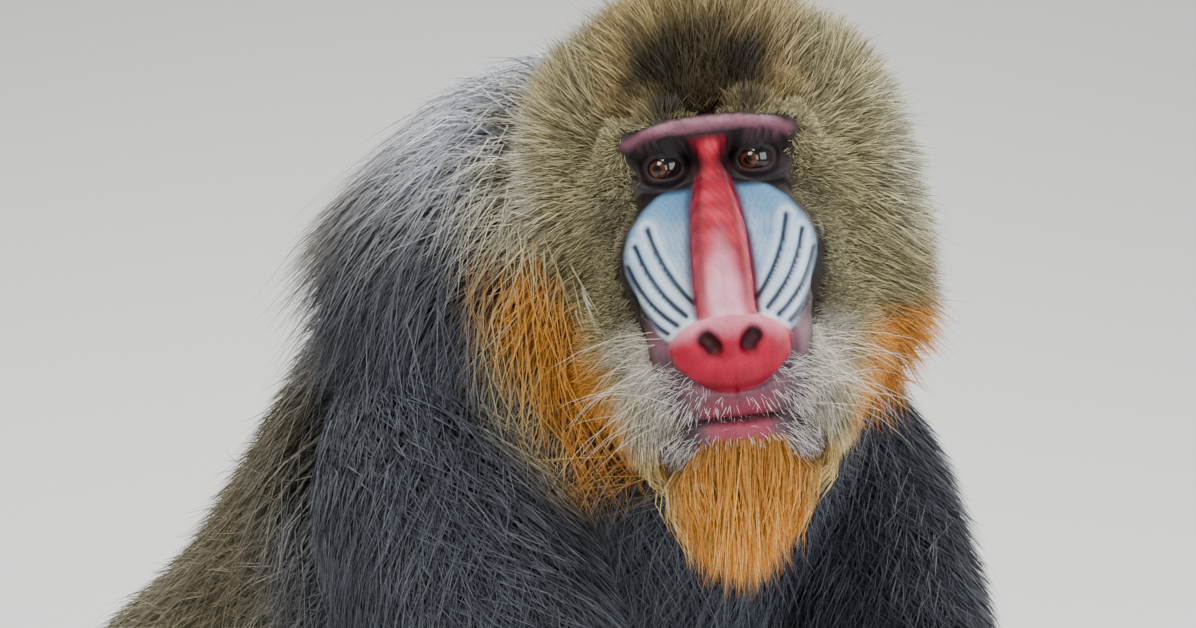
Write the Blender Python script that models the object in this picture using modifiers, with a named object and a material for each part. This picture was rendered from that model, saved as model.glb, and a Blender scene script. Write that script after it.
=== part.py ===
"""A life-size model of an adult male mandrill sitting on the floor, its head turned to its right.

Metres, +Z up. The trunk faces -Y, and the floor is at the lowest flats. Each soft form is a loft
round a path, the head is a field of blended rods reached by rays, and the long coat is flat locks.
"""

import math

import bmesh
import bpy
import numpy as np
from mathutils import Matrix, Vector
from mathutils.bvhtree import BVHTree
from mathutils.kdtree import KDTree

# Driving sizes
HEAD_YAW = -41.0  # degrees, the head's turn to the animal's right
HEAD_PITCH = -4.5
HEAD_ROLL = -6.5
FACING = -40.0  # degrees, the way the head looks before its own small turn
EYES_AT = np.array([-0.052, -0.166, 0.540])  # midway between the eyes
EYE = np.array([0.0228, -0.0030, 0.0])  # the animal's left eyeball in the head's frame
EYE_RADIUS = 0.0108
GAP = 0.00035  # left between touching nodes
FLOOR = 0.0
SEED = 3  # places and sizes of the locks

# Colours (linear red, green, blue) and roughness
OLIVE = ((0.110, 0.090, 0.045), 0.85)
SLATE = ((0.055, 0.058, 0.065), 0.85)
ORANGE = ((0.480, 0.210, 0.030), 0.80)
DARK_SKIN = ((0.035, 0.028, 0.030), 0.55)
EAR_SKIN = ((0.180, 0.105, 0.095), 0.60)
IRIS = ((0.110, 0.045, 0.018), 0.08)
FINISHES = {"eye": IRIS, "ear": EAR_SKIN, "hand": DARK_SKIN, "foot": DARK_SKIN, "lower_jaw": ORANGE,
            "chest": SLATE, "upper_arm": SLATE}  # every other node is olive


def clear_scene():
    for obj in list(bpy.data.objects):
        bpy.data.objects.remove(obj)


def material(name, finish):
    colour, roughness = finish
    made = bpy.data.materials.get(name) or bpy.data.materials.new(name)
    made.use_nodes = True
    shader = made.node_tree.nodes["Principled BSDF"]
    shader.inputs["Base Color"].default_value = (*colour, 1.0)
    shader.inputs["Roughness"].default_value = roughness
    return made


def add_object(name, points, faces, collection):
    """A mesh object from arrays of points and faces, its normals turned outwards."""
    mesh = bpy.data.meshes.new(name)
    mesh.from_pydata([tuple(p) for p in points], [], [tuple(int(i) for i in f) for f in faces])
    form = bmesh.new()
    form.from_mesh(mesh)
    bmesh.ops.triangulate(form, faces=form.faces)
    bmesh.ops.recalc_face_normals(form, faces=form.faces)
    form.to_mesh(mesh)
    form.free()
    obj = bpy.data.objects.new(name, mesh)
    collection.objects.link(obj)
    return obj


def curve(points, steps):
    """A smooth curve through a few rows of numbers (Catmull-Rom), read at even steps."""
    p = np.asarray(points, float)
    p = np.vstack([2 * p[0] - p[1], p, 2 * p[-1] - p[-2]])
    t = np.linspace(0, len(p) - 3, steps)
    i = np.minimum(t.astype(int), len(p) - 4)
    f = (t - i)[:, None]
    a, b, c, d = p[i], p[i + 1], p[i + 2], p[i + 3]
    square, cube = (2 * a - 5 * b + 4 * c - d) * f**2, (3 * b - a - 3 * c + d) * f**3
    return 0.5 * (2 * b + (c - a) * f + square + cube)


def unit(v):
    v = np.asarray(v, float)
    return v / np.maximum(np.linalg.norm(v, axis=-1, keepdims=True), 1e-12)


def turn(degrees, axis):
    """A rotation matrix about X, Y or Z."""
    c, s = math.cos(math.radians(degrees)), math.sin(math.radians(degrees))
    i, j = {"X": (1, 2), "Y": (2, 0), "Z": (0, 1)}[axis]
    made = np.eye(3)
    made[i, i], made[j, j], made[i, j], made[j, i] = c, c, -s, s
    return made


HEAD_TURN = turn(FACING, "Z") @ turn(HEAD_PITCH, "X") @ turn(HEAD_YAW - FACING, "Z") @ turn(HEAD_ROLL, "Y")


def from_head(points):
    """Carries points of the head's own frame into the model."""
    return np.asarray(points, float) @ HEAD_TURN.T + EYES_AT


# The head: origin midway between the eyes, X to the animal's left, Y backward, Z up.
# Each soft rod is its start, its end, the radius at each, and how wide it blends into the rest.
HEAD_RODS = (
    # cranium, low behind the brow
    ((0.000, 0.046, 0.004), (0.000, 0.088, 0.000), 0.048, 0.050, 0.020),
    ((0.030, 0.036, 0.000), (0.034, 0.082, -0.004), 0.034, 0.036, 0.020),
    # brow ridge
    ((0.000, -0.0120, 0.0170), (0.022, -0.0125, 0.0174), 0.0068, 0.0076, 0.005),
    ((0.022, -0.0125, 0.0174), (0.043, -0.0005, 0.0135), 0.0076, 0.0062, 0.005),
    # outer rim of the socket and the cheek bone
    ((0.044, 0.0010, 0.0120), (0.046, 0.0060, -0.0080), 0.0065, 0.0085, 0.008),
    ((0.042, 0.0060, -0.0120), (0.054, 0.0350, -0.0180), 0.0120, 0.0160, 0.012),
    # under the eye
    ((0.018, 0.0020, -0.0150), (0.038, 0.0030, -0.0145), 0.0080, 0.0080, 0.006),
    # jaw muscles and jaw angle
    ((0.050, 0.035, -0.020), (0.042, 0.032, -0.080), 0.020, 0.024, 0.020),
    ((0.038, 0.000, -0.045), (0.036, 0.010, -0.090), 0.018, 0.022, 0.020),
    # muzzle core
    ((0.014, -0.004, -0.030), (0.018, -0.074, -0.090), 0.024, 0.0210, 0.012),
    ((0.016, -0.010, -0.055), (0.019, -0.070, -0.110), 0.024, 0.0210, 0.012),
    # swellings beside the nose
    ((0.0255, -0.0150, -0.0215), (0.0325, -0.0290, -0.0400), 0.0125, 0.0155, 0.006),
    ((0.0325, -0.0290, -0.0400), (0.0285, -0.0620, -0.0680), 0.0155, 0.0125, 0.006),
    ((0.0285, -0.0620, -0.0680), (0.0230, -0.0800, -0.0830), 0.0125, 0.0080, 0.006),
    # nose bridge
    ((0.0000, -0.0110, 0.0090), (0.0000, -0.0210, -0.0080), 0.0060, 0.0085, 0.005),
    ((0.0000, -0.0210, -0.0080), (0.0038, -0.0470, -0.0340), 0.0085, 0.0115, 0.003),
    ((0.0038, -0.0470, -0.0340), (0.0050, -0.0900, -0.0750), 0.0115, 0.0105, 0.003),
    # nose pad: roof, wings, septum and base
    ((0.0000, -0.1000, -0.0830), (0.0165, -0.0950, -0.0850), 0.0124, 0.0112, 0.004),
    ((0.0150, -0.1000, -0.0905), (0.0215, -0.0945, -0.0930), 0.0106, 0.0086, 0.004),
    ((0.0000, -0.1095, -0.0865), (0.0000, -0.1050, -0.1035), 0.0050, 0.0060, 0.004),
    ((0.0040, -0.1015, -0.1015), (0.0145, -0.0975, -0.1005), 0.0112, 0.0098, 0.005),
    # upper lip
    ((0.0000, -0.0970, -0.1135), (0.0200, -0.0900, -0.1130), 0.0108, 0.0113, 0.006),
    ((0.0200, -0.0900, -0.1130), (0.0310, -0.0600, -0.1050), 0.0113, 0.0125, 0.008),
    # lower lip and chin
    ((0.0000, -0.0960, -0.1315), (0.0160, -0.0900, -0.1310), 0.0072, 0.0080, 0.005),
    ((0.0160, -0.0900, -0.1310), (0.0275, -0.0660, -0.1270), 0.0080, 0.0100, 0.006),
    ((0.0000, -0.0840, -0.1350), (0.0180, -0.0760, -0.1340), 0.0120, 0.0120, 0.008),
    # lower jaw and throat
    ((0.0240, -0.0640, -0.1260), (0.0380, 0.0200, -0.0880), 0.0150, 0.0220, 0.016),
    ((0.0000, -0.0450, -0.1180), (0.0000, 0.0300, -0.0800), 0.0220, 0.0400, 0.020),
    ((0.0000, 0.0500, -0.0450), (0.0000, 0.1000, -0.0500), 0.0500, 0.0560, 0.030),
)
# Grooves of the swellings from the front: (x, z) high on the side, (x, z) by the nose, and the bow between.
GROOVES = (
    ((0.0345, -0.0290), (0.0155, -0.0670), 0.0030),
    ((0.0415, -0.0370), (0.0200, -0.0725), 0.0032),
    ((0.0462, -0.0470), (0.0250, -0.0765), 0.0028),
    ((0.0455, -0.0600), (0.0300, -0.0800), 0.0020),
)
# A nostril's path and its radius
NOSTRIL = ((0.0120, -0.1085, -0.0872), (0.0098, -0.1102, -0.0896), (0.0080, -0.1097, -0.0936))
NOSTRIL_RADIUS = 0.0043
# The nose pad's lower edge from the front, as (x, z) from the middle outwards and up
PAD_EDGE = np.array([[0.0, -0.1095], [0.012, -0.1085], [0.0225, -0.1040], [0.0300, -0.0960],
                     [0.0300, -0.0860], [0.023, -0.0755]])
# The swellings' middle, as (z, y), and the nose bridge's half width, as (z, x)
SWELLING_FRONT = np.array([[-0.083, -0.088], [-0.068, -0.072], [-0.040, -0.040], [-0.020, -0.025]])
BRIDGE_BORDER = np.array([[-0.078, 0.0150], [-0.060, 0.0156], [-0.040, 0.0150], [-0.020, 0.0125],
                          [-0.008, 0.0090]])
OPENING_HALF = (0.0122, 0.0052)  # half the width and height of the eye's opening
# The closed mouth's line: its height in front, how steeply it rises backwards, and where it ends
MOUTH_FRONT, MOUTH_RISE, MOUTH_END = -0.1245, 0.32, -0.030
# The axis that the head's rays start from, from the cranium to the muzzle
HEAD_AXIS = np.array([[0.0, 0.070, -0.010], [0.0, -0.058, -0.096]])
COAT_ON_HEAD = 0.016  # depth of the dense part of the coat round the face
SOCKET_AT, SOCKET_RADII = (0.001, -0.0140, -0.0012), (0.0160, 0.0120, 0.0115)  # from the eyeball's middle
LID = 0.0013  # thickness of the lids over the eyeball


def rod_distance(points, start, end, start_radius, end_radius):
    """Distance to a rod whose radius runs evenly from its start to its end."""
    start, end = np.asarray(start, float), np.asarray(end, float)
    along = end - start
    share = np.clip((points - start) @ along / (along @ along), 0, 1)
    gap = np.linalg.norm(points - start - share[:, None] * along, axis=1)
    return gap - (start_radius + share * (end_radius - start_radius))


def soft_union(a, b, width):
    """The smaller of two distances, rounded where they are within width of each other."""
    share = np.clip(0.5 + 0.5 * (b - a) / width, 0, 1)
    return b + (a - b) * share - width * share * (1 - share)


def soft_cut(a, b, width):
    return -soft_union(-a, b, width)


def ball(points, centre, radii):
    """Rough distance to an ellipsoid."""
    p = (points - np.asarray(centre)) / np.asarray(radii)
    near = np.linalg.norm(p, axis=1)
    steep = np.linalg.norm(p / np.asarray(radii), axis=1)
    return near * (near - 1) / np.maximum(steep, 1e-9)


def to_line(points, line):
    """Least distance from each point to a run of short straight pieces."""
    best = np.full(len(points), 1.0)
    for a, b in zip(line[:-1], line[1:]):
        along = b - a
        share = np.clip((points - a) @ along / max(along @ along, 1e-12), 0, 1)
        best = np.minimum(best, np.linalg.norm(points - a - share[:, None] * along, axis=1))
    return best


def dip(gap, width):
    return np.exp(-((gap / width) ** 2))


def fade(value, start, end):
    """Runs smoothly from 0 at start to 1 at end."""
    t = np.clip((value - start) / (end - start), 0, 1)
    return t * t * (3 - 2 * t)


def groove_line(start, end, bow, steps=7):
    """A groove as a bowed line in the front view."""
    start, end = np.array(start), np.array(end)
    t = np.linspace(0, 1, steps)[:, None]
    run = end - start
    side = np.array([-run[1], run[0]]) / np.linalg.norm(run)
    return start + t * run + 4 * bow * t * (1 - t) * side


def mouth_height(y):
    """Height of the closed mouth's line, which rises towards its corners."""
    return MOUTH_FRONT + MOUTH_RISE * np.maximum(y + 0.098, 0)


def face_relief(p):
    """Depth of the folds: the swellings' grooves, the bridge's furrows, the mouth's line and the groove of
    the lip."""
    x, y, z = np.abs(p[:, 0]), p[:, 1], p[:, 2]
    flat = np.column_stack([x, z])
    depth = np.zeros(len(p))
    for start, end, bow in GROOVES:
        depth = np.maximum(depth, 0.0021 * dip(to_line(flat, groove_line(start, end, bow)), 0.0014))
    depth *= fade(np.interp(z, *SWELLING_FRONT.T) + 0.018 - y, 0.0, 0.008)
    border = np.interp(z, BRIDGE_BORDER[:, 0], BRIDGE_BORDER[:, 1])
    front = fade(z, -0.080, -0.070) * fade(-z, 0.004, 0.014) * fade(-y, 0.010, 0.020)
    depth = depth + 0.0022 * dip(x - border, 0.0018) * front
    depth = depth + 0.0020 * dip(to_line(flat, PAD_EDGE), 0.0020) * fade(-y, 0.066, 0.080)
    lips = fade(-y, 0.045, 0.075) * (1 - 0.65 * fade(x, 0.013, 0.028))
    depth = depth + 0.0030 * dip(z - mouth_height(y), 0.0016) * lips * (z < -0.07)
    return depth + 0.0009 * dip(x, 0.0014) * fade(-z, 0.102, 0.106) * fade(z, -0.122, -0.117) * (y < -0.08)


def coat_on_head(p):
    """Depth of the dense coat over the bare head: none on the face, and full behind the brow and cheeks."""
    x, y, z = np.abs(p[:, 0]), p[:, 1], p[:, 2]
    above = fade(z, 0.020, 0.050) * fade(y, -0.012, 0.030)
    cheek = 1 + 0.4 * dip(z + 0.065, 0.045)
    beside = cheek * fade(y + 0.35 * (x - 0.045), 0.000, 0.040) * fade(x, 0.030, 0.055)
    behind = fade(y, 0.020, 0.050)
    jaw = 0.5 * fade(y, -0.060, 0.000) * fade(-z, 0.080, 0.100)
    return COAT_ON_HEAD * np.maximum.reduce([1.35 * above, beside, behind, jaw])


def head_distance(points):
    """Signed distance to the head: rods blended, then the sockets, lids, nostrils, folds and coat."""
    p = points.copy()
    p[:, 0] = np.sqrt(p[:, 0] ** 2 + 0.0005**2)
    far = None
    for start, end, start_radius, end_radius, width in HEAD_RODS:
        gap = rod_distance(p, start, end, start_radius, end_radius)
        far = gap if far is None else soft_union(far, gap, width)
    far = soft_cut(far, ball(p, EYE + SOCKET_AT, SOCKET_RADII), 0.006)
    far = soft_union(far, np.linalg.norm(p - EYE, axis=1) - (EYE_RADIUS + LID), 0.003)
    opening = (OPENING_HALF[0], 0.0075, OPENING_HALF[1])
    far = soft_cut(far, ball(p, EYE + (0.0, -0.0115, 0.0), opening), 0.0012)
    far = soft_cut(far, to_line(p, curve(NOSTRIL, 6)) - NOSTRIL_RADIUS, 0.003)
    return far + face_relief(p) - coat_on_head(p)


def head_points(around, along, steps=40, reach=0.20):
    """Points of the head on a grid: rays fan round the back of an axis, lean forward along it and fan round
    its front, and each is followed inwards by the distance left until it meets the head."""
    t = np.linspace(0, 1, along)
    share = 0.6 * fade(t, 0.16, 0.80) + 0.4 * np.clip((t - 0.16) / 0.64, 0, 1)
    fan = np.interp(t, [0, 0.16, 0.34, 0.66, 1.0], [0, 0.44, 0.66, 0.70, 1.0]) * math.pi
    axis = HEAD_AXIS[1] - HEAD_AXIS[0]
    forward = unit(axis)
    up = np.array([0.0, forward[2], -forward[1]])
    u = np.linspace(0, 2 * math.pi, around, endpoint=False)
    angle = u - 0.35 * np.sin(u)  # crowds the columns over the top of the muzzle
    ring = np.cos(angle)[:, None] * up + np.sin(angle)[:, None] * np.array([1.0, 0.0, 0.0])
    origins = np.repeat((HEAD_AXIS[0] + share[:, None] * axis)[:, None], around, 1).reshape(-1, 3)
    rays = -np.cos(fan)[:, None, None] * forward + np.sin(fan)[:, None, None] * ring[None]
    rays = rays.reshape(-1, 3)
    reached = np.full(len(origins), reach)
    for _ in range(steps):
        reached -= 0.85 * head_distance(origins + reached[:, None] * rays)
    return (origins + reached[:, None] * rays).reshape(along, around, 3)


def grid_faces(along, around):
    """Quads of a tube of rings, with one point at each end and triangles up to it."""
    index = np.arange(along * around).reshape(along, around)
    a, b = index[:-1], index[1:]
    quads = np.stack([a, np.roll(a, -1, 1), np.roll(b, -1, 1), b], -1).reshape(-1, 4).tolist()
    first, last = along * around, along * around + 1
    for i in range(around):
        j = (i + 1) % around
        quads.append([index[0, j], index[0, i], first])
        quads.append([index[-1, i], index[-1, j], last])
    return quads


def add_rings(name, rings, ends, collection):
    """A closed tube through rings of points, with its two end points."""
    along, around, _ = rings.shape
    return add_object(name, np.vstack([rings.reshape(-1, 3), ends]), grid_faces(along, around), collection)


def make_mesh(obj, name, collection):
    """Replaces an object by a plain mesh of what its modifiers make."""
    bpy.context.view_layer.update()
    graph = bpy.context.evaluated_depsgraph_get()
    mesh = bpy.data.meshes.new_from_object(obj.evaluated_get(graph))
    made = bpy.data.objects.new(name, mesh)
    made.matrix_world = obj.matrix_world
    collection.objects.link(made)
    bpy.data.objects.remove(obj)
    made.name = name
    return made


def keep_largest(obj):
    """Leaves only the largest closed surface of a mesh object."""
    form = bmesh.new()
    form.from_mesh(obj.data)
    best = max(shells(form), key=lambda faces: abs(volume_of(faces)))
    keep = set(best)
    bmesh.ops.delete(form, geom=[f for f in form.faces if f not in keep], context="FACES")
    form.to_mesh(obj.data)
    form.free()


def shells(form):
    """The separate surfaces of a bmesh, each as a list of faces."""
    left, found = set(form.faces), []
    while left:
        todo, shell = [left.pop()], []
        while todo:
            face = todo.pop()
            shell.append(face)
            for edge in face.edges:
                if len(edge.link_faces) > 2:  # two surfaces that only touch
                    continue
                for other in edge.link_faces:
                    if other in left:
                        left.remove(other)
                        todo.append(other)
        found.append(shell)
    return found


def volume_of(faces):
    total = 0.0
    for face in faces:
        points = [v.co for v in face.verts]
        for b, c in zip(points[1:-1], points[2:]):
            total += points[0].dot(b.cross(c)) / 6
    return total


def combine(obj, others, operation, solver="MANIFOLD"):
    """Joins other closed meshes to an object, or cuts them from it, in one Boolean on a collection."""
    group = bpy.data.collections.new("operands")
    bpy.context.scene.collection.children.link(group)
    for other in others:
        for old in list(other.users_collection):
            old.objects.unlink(other)
        group.objects.link(other)
    step = obj.modifiers.new(operation, "BOOLEAN")
    step.operation, step.solver = operation, solver
    step.operand_type, step.collection = "COLLECTION", group
    made = make_mesh(obj, obj.name, obj.users_collection[0])
    for other in others:
        bpy.data.objects.remove(other)
    bpy.data.collections.remove(group)
    return made


def tube(stations, across, around, steps, domed=True):
    """Rings round a smooth path. A station is x, y, z, half width and half depth; the width lies along the
    given direction, and the ends are flat or domed."""
    rows = curve(stations, steps)
    path, width, depth = rows[:, :3], rows[:, 3], rows[:, 4]
    tangent = unit(np.gradient(path, axis=0))
    side = unit(np.asarray(across, float) - (tangent @ np.asarray(across, float))[:, None] * tangent)
    front = np.cross(tangent, side)
    dome = np.radians([75, 50, 25] if around > 8 else [50]) if domed else np.zeros(0)
    path = np.vstack([path[0] - np.sin(dome)[:, None] * width[0] * 0.8 * tangent[0], path,
                      path[-1] + np.sin(dome[::-1])[:, None] * width[-1] * 0.8 * tangent[-1]])
    low, high = np.cos(dome), np.cos(dome[::-1])
    width = np.concatenate([width[0] * low, width, width[-1] * high])
    depth = np.concatenate([depth[0] * low, depth, depth[-1] * high])
    count = len(dome)
    side = np.vstack([side[[0] * count], side, side[[-1] * count]])
    front = np.vstack([front[[0] * count], front, front[[-1] * count]])
    angle = np.linspace(0, 2 * math.pi, around, endpoint=False)[None, :, None]
    rings = path[:, None] + np.cos(angle) * (width[:, None] * side)[:, None]
    return rings + np.sin(angle) * (depth[:, None] * front)[:, None]


def ring_ends(rings):
    """The two points that close a tube: each a little beyond the middle of its last ring."""
    first, last = rings[0].mean(0), rings[-1].mean(0)
    return np.array([first + 0.35 * (first - rings[1].mean(0)), last + 0.35 * (last - rings[-2].mean(0))])


def add_tube(name, stations, across, around, steps, collection, domed=True):
    rings = tube(stations, across, around, steps, domed)
    ends = ring_ends(rings) if domed else rings[[0, -1]].mean(1)
    return add_rings(name, rings, ends, collection)


# The body, in metres: x, y, z, half width, half depth, depth of the coat over it
TRUNK = (
    (0.000, 0.325, 0.036, 0.062, 0.060, 0.004),
    (0.000, 0.330, 0.074, 0.100, 0.086, 0.014),
    (0.000, 0.306, 0.122, 0.110, 0.096, 0.024),
    (0.000, 0.252, 0.166, 0.110, 0.098, 0.032),
    (0.000, 0.186, 0.204, 0.108, 0.098, 0.036),
    (0.000, 0.120, 0.248, 0.112, 0.102, 0.040),
    (0.000, 0.060, 0.304, 0.116, 0.102, 0.044),
    (0.000, 0.012, 0.368, 0.112, 0.098, 0.046),
    (0.000, -0.028, 0.432, 0.096, 0.094, 0.048),
    (0.003, -0.070, 0.482, 0.082, 0.082, 0.048),
    (0.000, -0.097, 0.513, 0.058, 0.060, 0.040),
)
UPPER_ARM = (
    (0.095, 0.006, 0.410, 0.045, 0.049, 0.031),
    (0.119, -0.026, 0.376, 0.045, 0.051, 0.030),
    (0.127, -0.078, 0.310, 0.038, 0.044, 0.026),
    (0.122, -0.135, 0.236, 0.030, 0.033, 0.018),
)
FOREARM = (
    (0.122, -0.132, 0.242, 0.031, 0.034, 0.018),
    (0.112, -0.160, 0.184, 0.031, 0.034, 0.016),
    (0.091, -0.192, 0.112, 0.024, 0.027, 0.012),
    (0.072, -0.214, 0.048, 0.018, 0.021, 0.007),
)
THIGH = (
    (0.080, 0.300, 0.090, 0.062, 0.070, 0.018),
    (0.112, 0.235, 0.118, 0.058, 0.070, 0.022),
    (0.148, 0.165, 0.165, 0.047, 0.056, 0.020),
    (0.172, 0.118, 0.200, 0.034, 0.038, 0.014),
)
SHIN = (
    (0.172, 0.112, 0.196, 0.034, 0.036, 0.014),
    (0.172, 0.088, 0.146, 0.029, 0.032, 0.012),
    (0.170, 0.060, 0.090, 0.021, 0.024, 0.009),
    (0.168, 0.036, 0.042, 0.018, 0.022, 0.006),
)
TAIL = (
    (0.000, 0.405, 0.120, 0.018, 0.018, 0.008),
    (0.000, 0.442, 0.124, 0.013, 0.013, 0.009),
    (0.000, 0.466, 0.146, 0.009, 0.009, 0.010),
    (0.000, 0.474, 0.178, 0.005, 0.005, 0.010),
)
# Hand and foot in their own frames: X away from the body, Y backward, the wrist or heel at the origin.
PALM = (
    (0.000, 0.008, 0.040, 0.018, 0.018),
    (0.000, -0.022, 0.026, 0.024, 0.016),
    (0.001, -0.056, 0.014, 0.031, 0.0125),
    (0.002, -0.084, 0.0106, 0.034, 0.0115),
)
# A digit: where it starts across and along, which way it turns, its length and its thickness
FINGERS = ((-0.024, -0.086, -9, 0.062, 0.0088), (-0.0085, -0.092, -3, 0.070, 0.0090),
           (0.0080, -0.091, 3, 0.066, 0.0088), (0.0240, -0.084, 11, 0.052, 0.0080))
THUMB = (-0.024, -0.036, -42, 0.044, 0.0092)
SOLE = (
    (0.000, 0.020, 0.017, 0.019, 0.018),
    (0.000, -0.012, 0.0235, 0.023, 0.024),
    (0.002, -0.060, 0.019, 0.028, 0.019),
    (0.004, -0.108, 0.0113, 0.034, 0.0122),
)
TOES = ((-0.021, -0.112, -6, 0.050, 0.0084), (-0.0065, -0.118, -1, 0.054, 0.0086),
        (0.0090, -0.116, 4, 0.050, 0.0084), (0.0240, -0.110, 11, 0.042, 0.0078))
GREAT_TOE = (-0.024, -0.052, -38, 0.052, 0.0098)
WRIST = np.array([0.070, -0.222, 0.0])
HAND_TURN = 4.0  # degrees outwards
HEEL = np.array([0.168, 0.040, 0.0])
FOOT_TURN = 10.0


def mirrored(stations, side):
    """Stations of the animal's left (side 1) or right (side -1)."""
    rows = np.array(stations, float)
    rows[:, 0] *= side
    return rows


def coated(stations, side=1, fill=None):
    """Stations with the coat added to their widths: the share of it that the solid core fills, which is
    half of a long coat and all of a short one."""
    rows = mirrored(stations, side)
    share = 1 - (1 - CORE_SHARE) * fade(rows[:, 5], *LONG_COAT) if fill is None else fill
    rows[:, 3:5] += (share * rows[:, 5])[:, None]
    return rows[:, :5]


def digit(start, along, turned, length, thick):
    """Stations of a finger or toe: it arches up at its middle joint and comes down to the floor."""
    way = turn(-turned, "Z") @ np.array([0.0, -1.0, 0.0])
    root = np.array([start, along, 0.0]) - 0.016 * way
    reach = np.array([0.0, 0.22, 0.48, 0.76, 1.0]) * length + 0.016
    width = thick * np.array([1.08, 0.98, 0.94, 0.86, 0.66])
    rows = np.column_stack([root + reach[:, None] * way, width, width])
    rows[:, 2] = thick * np.array([1.00, 1.55, 1.50, 0.92, 0.60])
    return rows


def extremity(name, base, digits, origin, turned, side, collection):
    """A hand or foot: its sole with each digit joined to it."""
    place = turn(turned * side, "Z")

    def placed(stations):
        rows = mirrored(stations, side)
        rows[:, :3] = rows[:, :3] @ place.T + origin * (side, 1, 1)
        return rows

    across = place @ np.array([1.0, 0.0, 0.0])
    made = add_tube(name, placed(base), across, 8, 5, collection)
    others = [add_tube(f"{name}_digit_{i}", placed(digit(*d)), across, 5, 4, collection)
              for i, d in enumerate(digits)]
    return thinned(combine(made, others, "UNION"), HAND_TRIANGLES, collection)


# The coat: how much of its depth the solid core fills, and its locks
CORE_SHARE = 0.5
LONG_COAT = (0.018, 0.028)  # the depths between which a coat turns from short to long
# Each kind of lock: how far apart the roots are, its length and half its width
LOCKS = {"head": (0.033, 0.066, 0.0165), "body": (0.058, 0.104, 0.0250)}
# Along a lock: share of its length, share of its width, and height, where -1 is the root's depth in the
# core and 1 the coat's full depth
LOCK_RINGS = ((0.0, 0.45, -1.0), (0.40, 1.0, 0.55), (0.75, 0.60, 0.98), (1.0, 0.0, 0.95))
LOCK_SINK = 0.008  # how deep a root goes into the core
BEARD_ROWS = ((-0.084, -0.139, 0.082), (-0.058, -0.133, 0.074), (-0.030, -0.124, 0.058))  # y, z, length
BEARD_HALF, BEARD_LOCK = 0.036, 0.0095  # half the width of a row, and of a lock
ROOT_TRIES = 9000
LOWEST_ROOT = 0.09  # height under which no lock starts
EAR_ROOM = 0.048  # from the ears to the nearest roots
LIMB_ROOM = 0.010  # from the limbs' coat to the nearest lock
EAR_AT = np.array([0.060, 0.064, -0.004])  # root of the left ear in the head's frame

# How finely the forms are meshed
VOXEL = 0.008
BODY_TRIANGLES = 1500
HEAD_TRIANGLES = 2500
HAND_TRIANGLES = 480

# Clean-up after the cuts
FLAT_ANGLE = math.radians(0.05)  # faces flatter than this to each other become one
TOUCH = 0.000004  # points closer than this touch
DRAW_BACK = 0.00003  # how far touching points are moved inwards


def copied(obj, name, collection):
    made = bpy.data.objects.new(name, obj.data.copy())
    collection.objects.link(made)
    return made


def merged(name, objects, collection):
    """One object holding the meshes of several, which are removed."""
    form = bmesh.new()
    for obj in objects:
        form.from_mesh(obj.data)
        bpy.data.objects.remove(obj)
    mesh = bpy.data.meshes.new(name)
    form.to_mesh(mesh)
    form.free()
    made = bpy.data.objects.new(name, mesh)
    collection.objects.link(made)
    return made


def triangles(obj):
    return sum(len(face.vertices) - 2 for face in obj.data.polygons)


def thinned(obj, count, collection):
    """Fewer triangles, kept where the form bends."""
    step = obj.modifiers.new("thin", "DECIMATE")
    step.ratio = min(1.0, count / triangles(obj))
    return make_mesh(obj, obj.name, collection)


def smooth_body(objects, collection):
    """Joins overlapping tubes into one flowing form."""
    made = merged("body", objects, collection)
    step = made.modifiers.new("join", "REMESH")
    step.mode, step.voxel_size = "VOXEL", VOXEL
    step = made.modifiers.new("soften", "SMOOTH")
    step.factor, step.iterations = 0.5, 10
    made = make_mesh(made, "body", collection)
    return thinned(made, BODY_TRIANGLES, collection)


def ear_rings(side):
    """An ear as rings: the back of the shell from its root to the rim, then its hollow."""
    opens = unit([0.80 * side, -0.55, 0.05])
    up = unit(np.array([0.05 * side, 0.25, 1.0]) - opens * (opens @ [0.05 * side, 0.25, 1.0]))
    across = np.cross(up, opens) * side
    root = EAR_AT * (side, 1, 1)
    rim = root + np.array([0.026 * side, 0.008, 0.004])
    angle = np.linspace(0, 2 * math.pi, 18, endpoint=False)
    # share of the way from root to rim, half height, half width, how far behind the rim's plane
    steps = np.array([(0.0, 0.45, 0.40, 0.0), (0.45, 0.62, 0.60, 0.004), (0.80, 0.90, 0.90, 0.004),
                      (1.0, 1.02, 1.02, 0.001), (1.0, 0.99, 0.99, -0.0012), (1.0, 0.84, 0.82, 0.001),
                      (1.0, 0.66, 0.62, 0.0055), (1.0, 0.34, 0.30, 0.009)])
    centre = root + steps[:, :1] * (rim - root) - steps[:, 3:] * opens
    high = (0.0250 * steps[:, 1])[:, None, None] * np.cos(angle)[None, :, None] * up
    shape = 1 + 0.10 * np.cos(angle - 0.9)
    wide = (0.0185 * steps[:, 2])[:, None, None] * (np.sin(angle) * shape)[None, :, None] * across
    return centre[:, None] + high + wide


def lie_samples():
    """Where the coat lies which way: points on the trunk and the head, the way the hair runs there, how far
    it stands above the solid core, and the kind of lock, or none where the coat is short."""
    points, ways, rises, kinds = [], [], [], []
    rings = tube(coated(TRUNK), (1, 0, 0), 24, 21, False)
    rows = curve(TRUNK, 21)
    points.append(rings.reshape(-1, 3))
    ways.append(np.repeat(-unit(np.gradient(rows[:, :3], axis=0)), 24, 0))
    rises.append(np.repeat((1 - CORE_SHARE) * rows[:, 5], 24))
    kinds += ["body" if depth > LONG_COAT[1] - 0.004 else "" for depth in np.repeat(rows[:, 5], 24)]
    local = head_points(48, 52).reshape(-1, 3)
    depth = coat_on_head(local)
    points.append(from_head(local))
    ways.append(np.array([lie_on_head(p) for p in local]) @ HEAD_TURN.T)
    rises.append(depth * (1 - CORE_SHARE) / CORE_SHARE)
    kinds += ["head" if d > 0.35 * COAT_ON_HEAD else "" for d in depth]
    return np.vstack(points), np.vstack(ways), np.concatenate(rises), kinds


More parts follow.
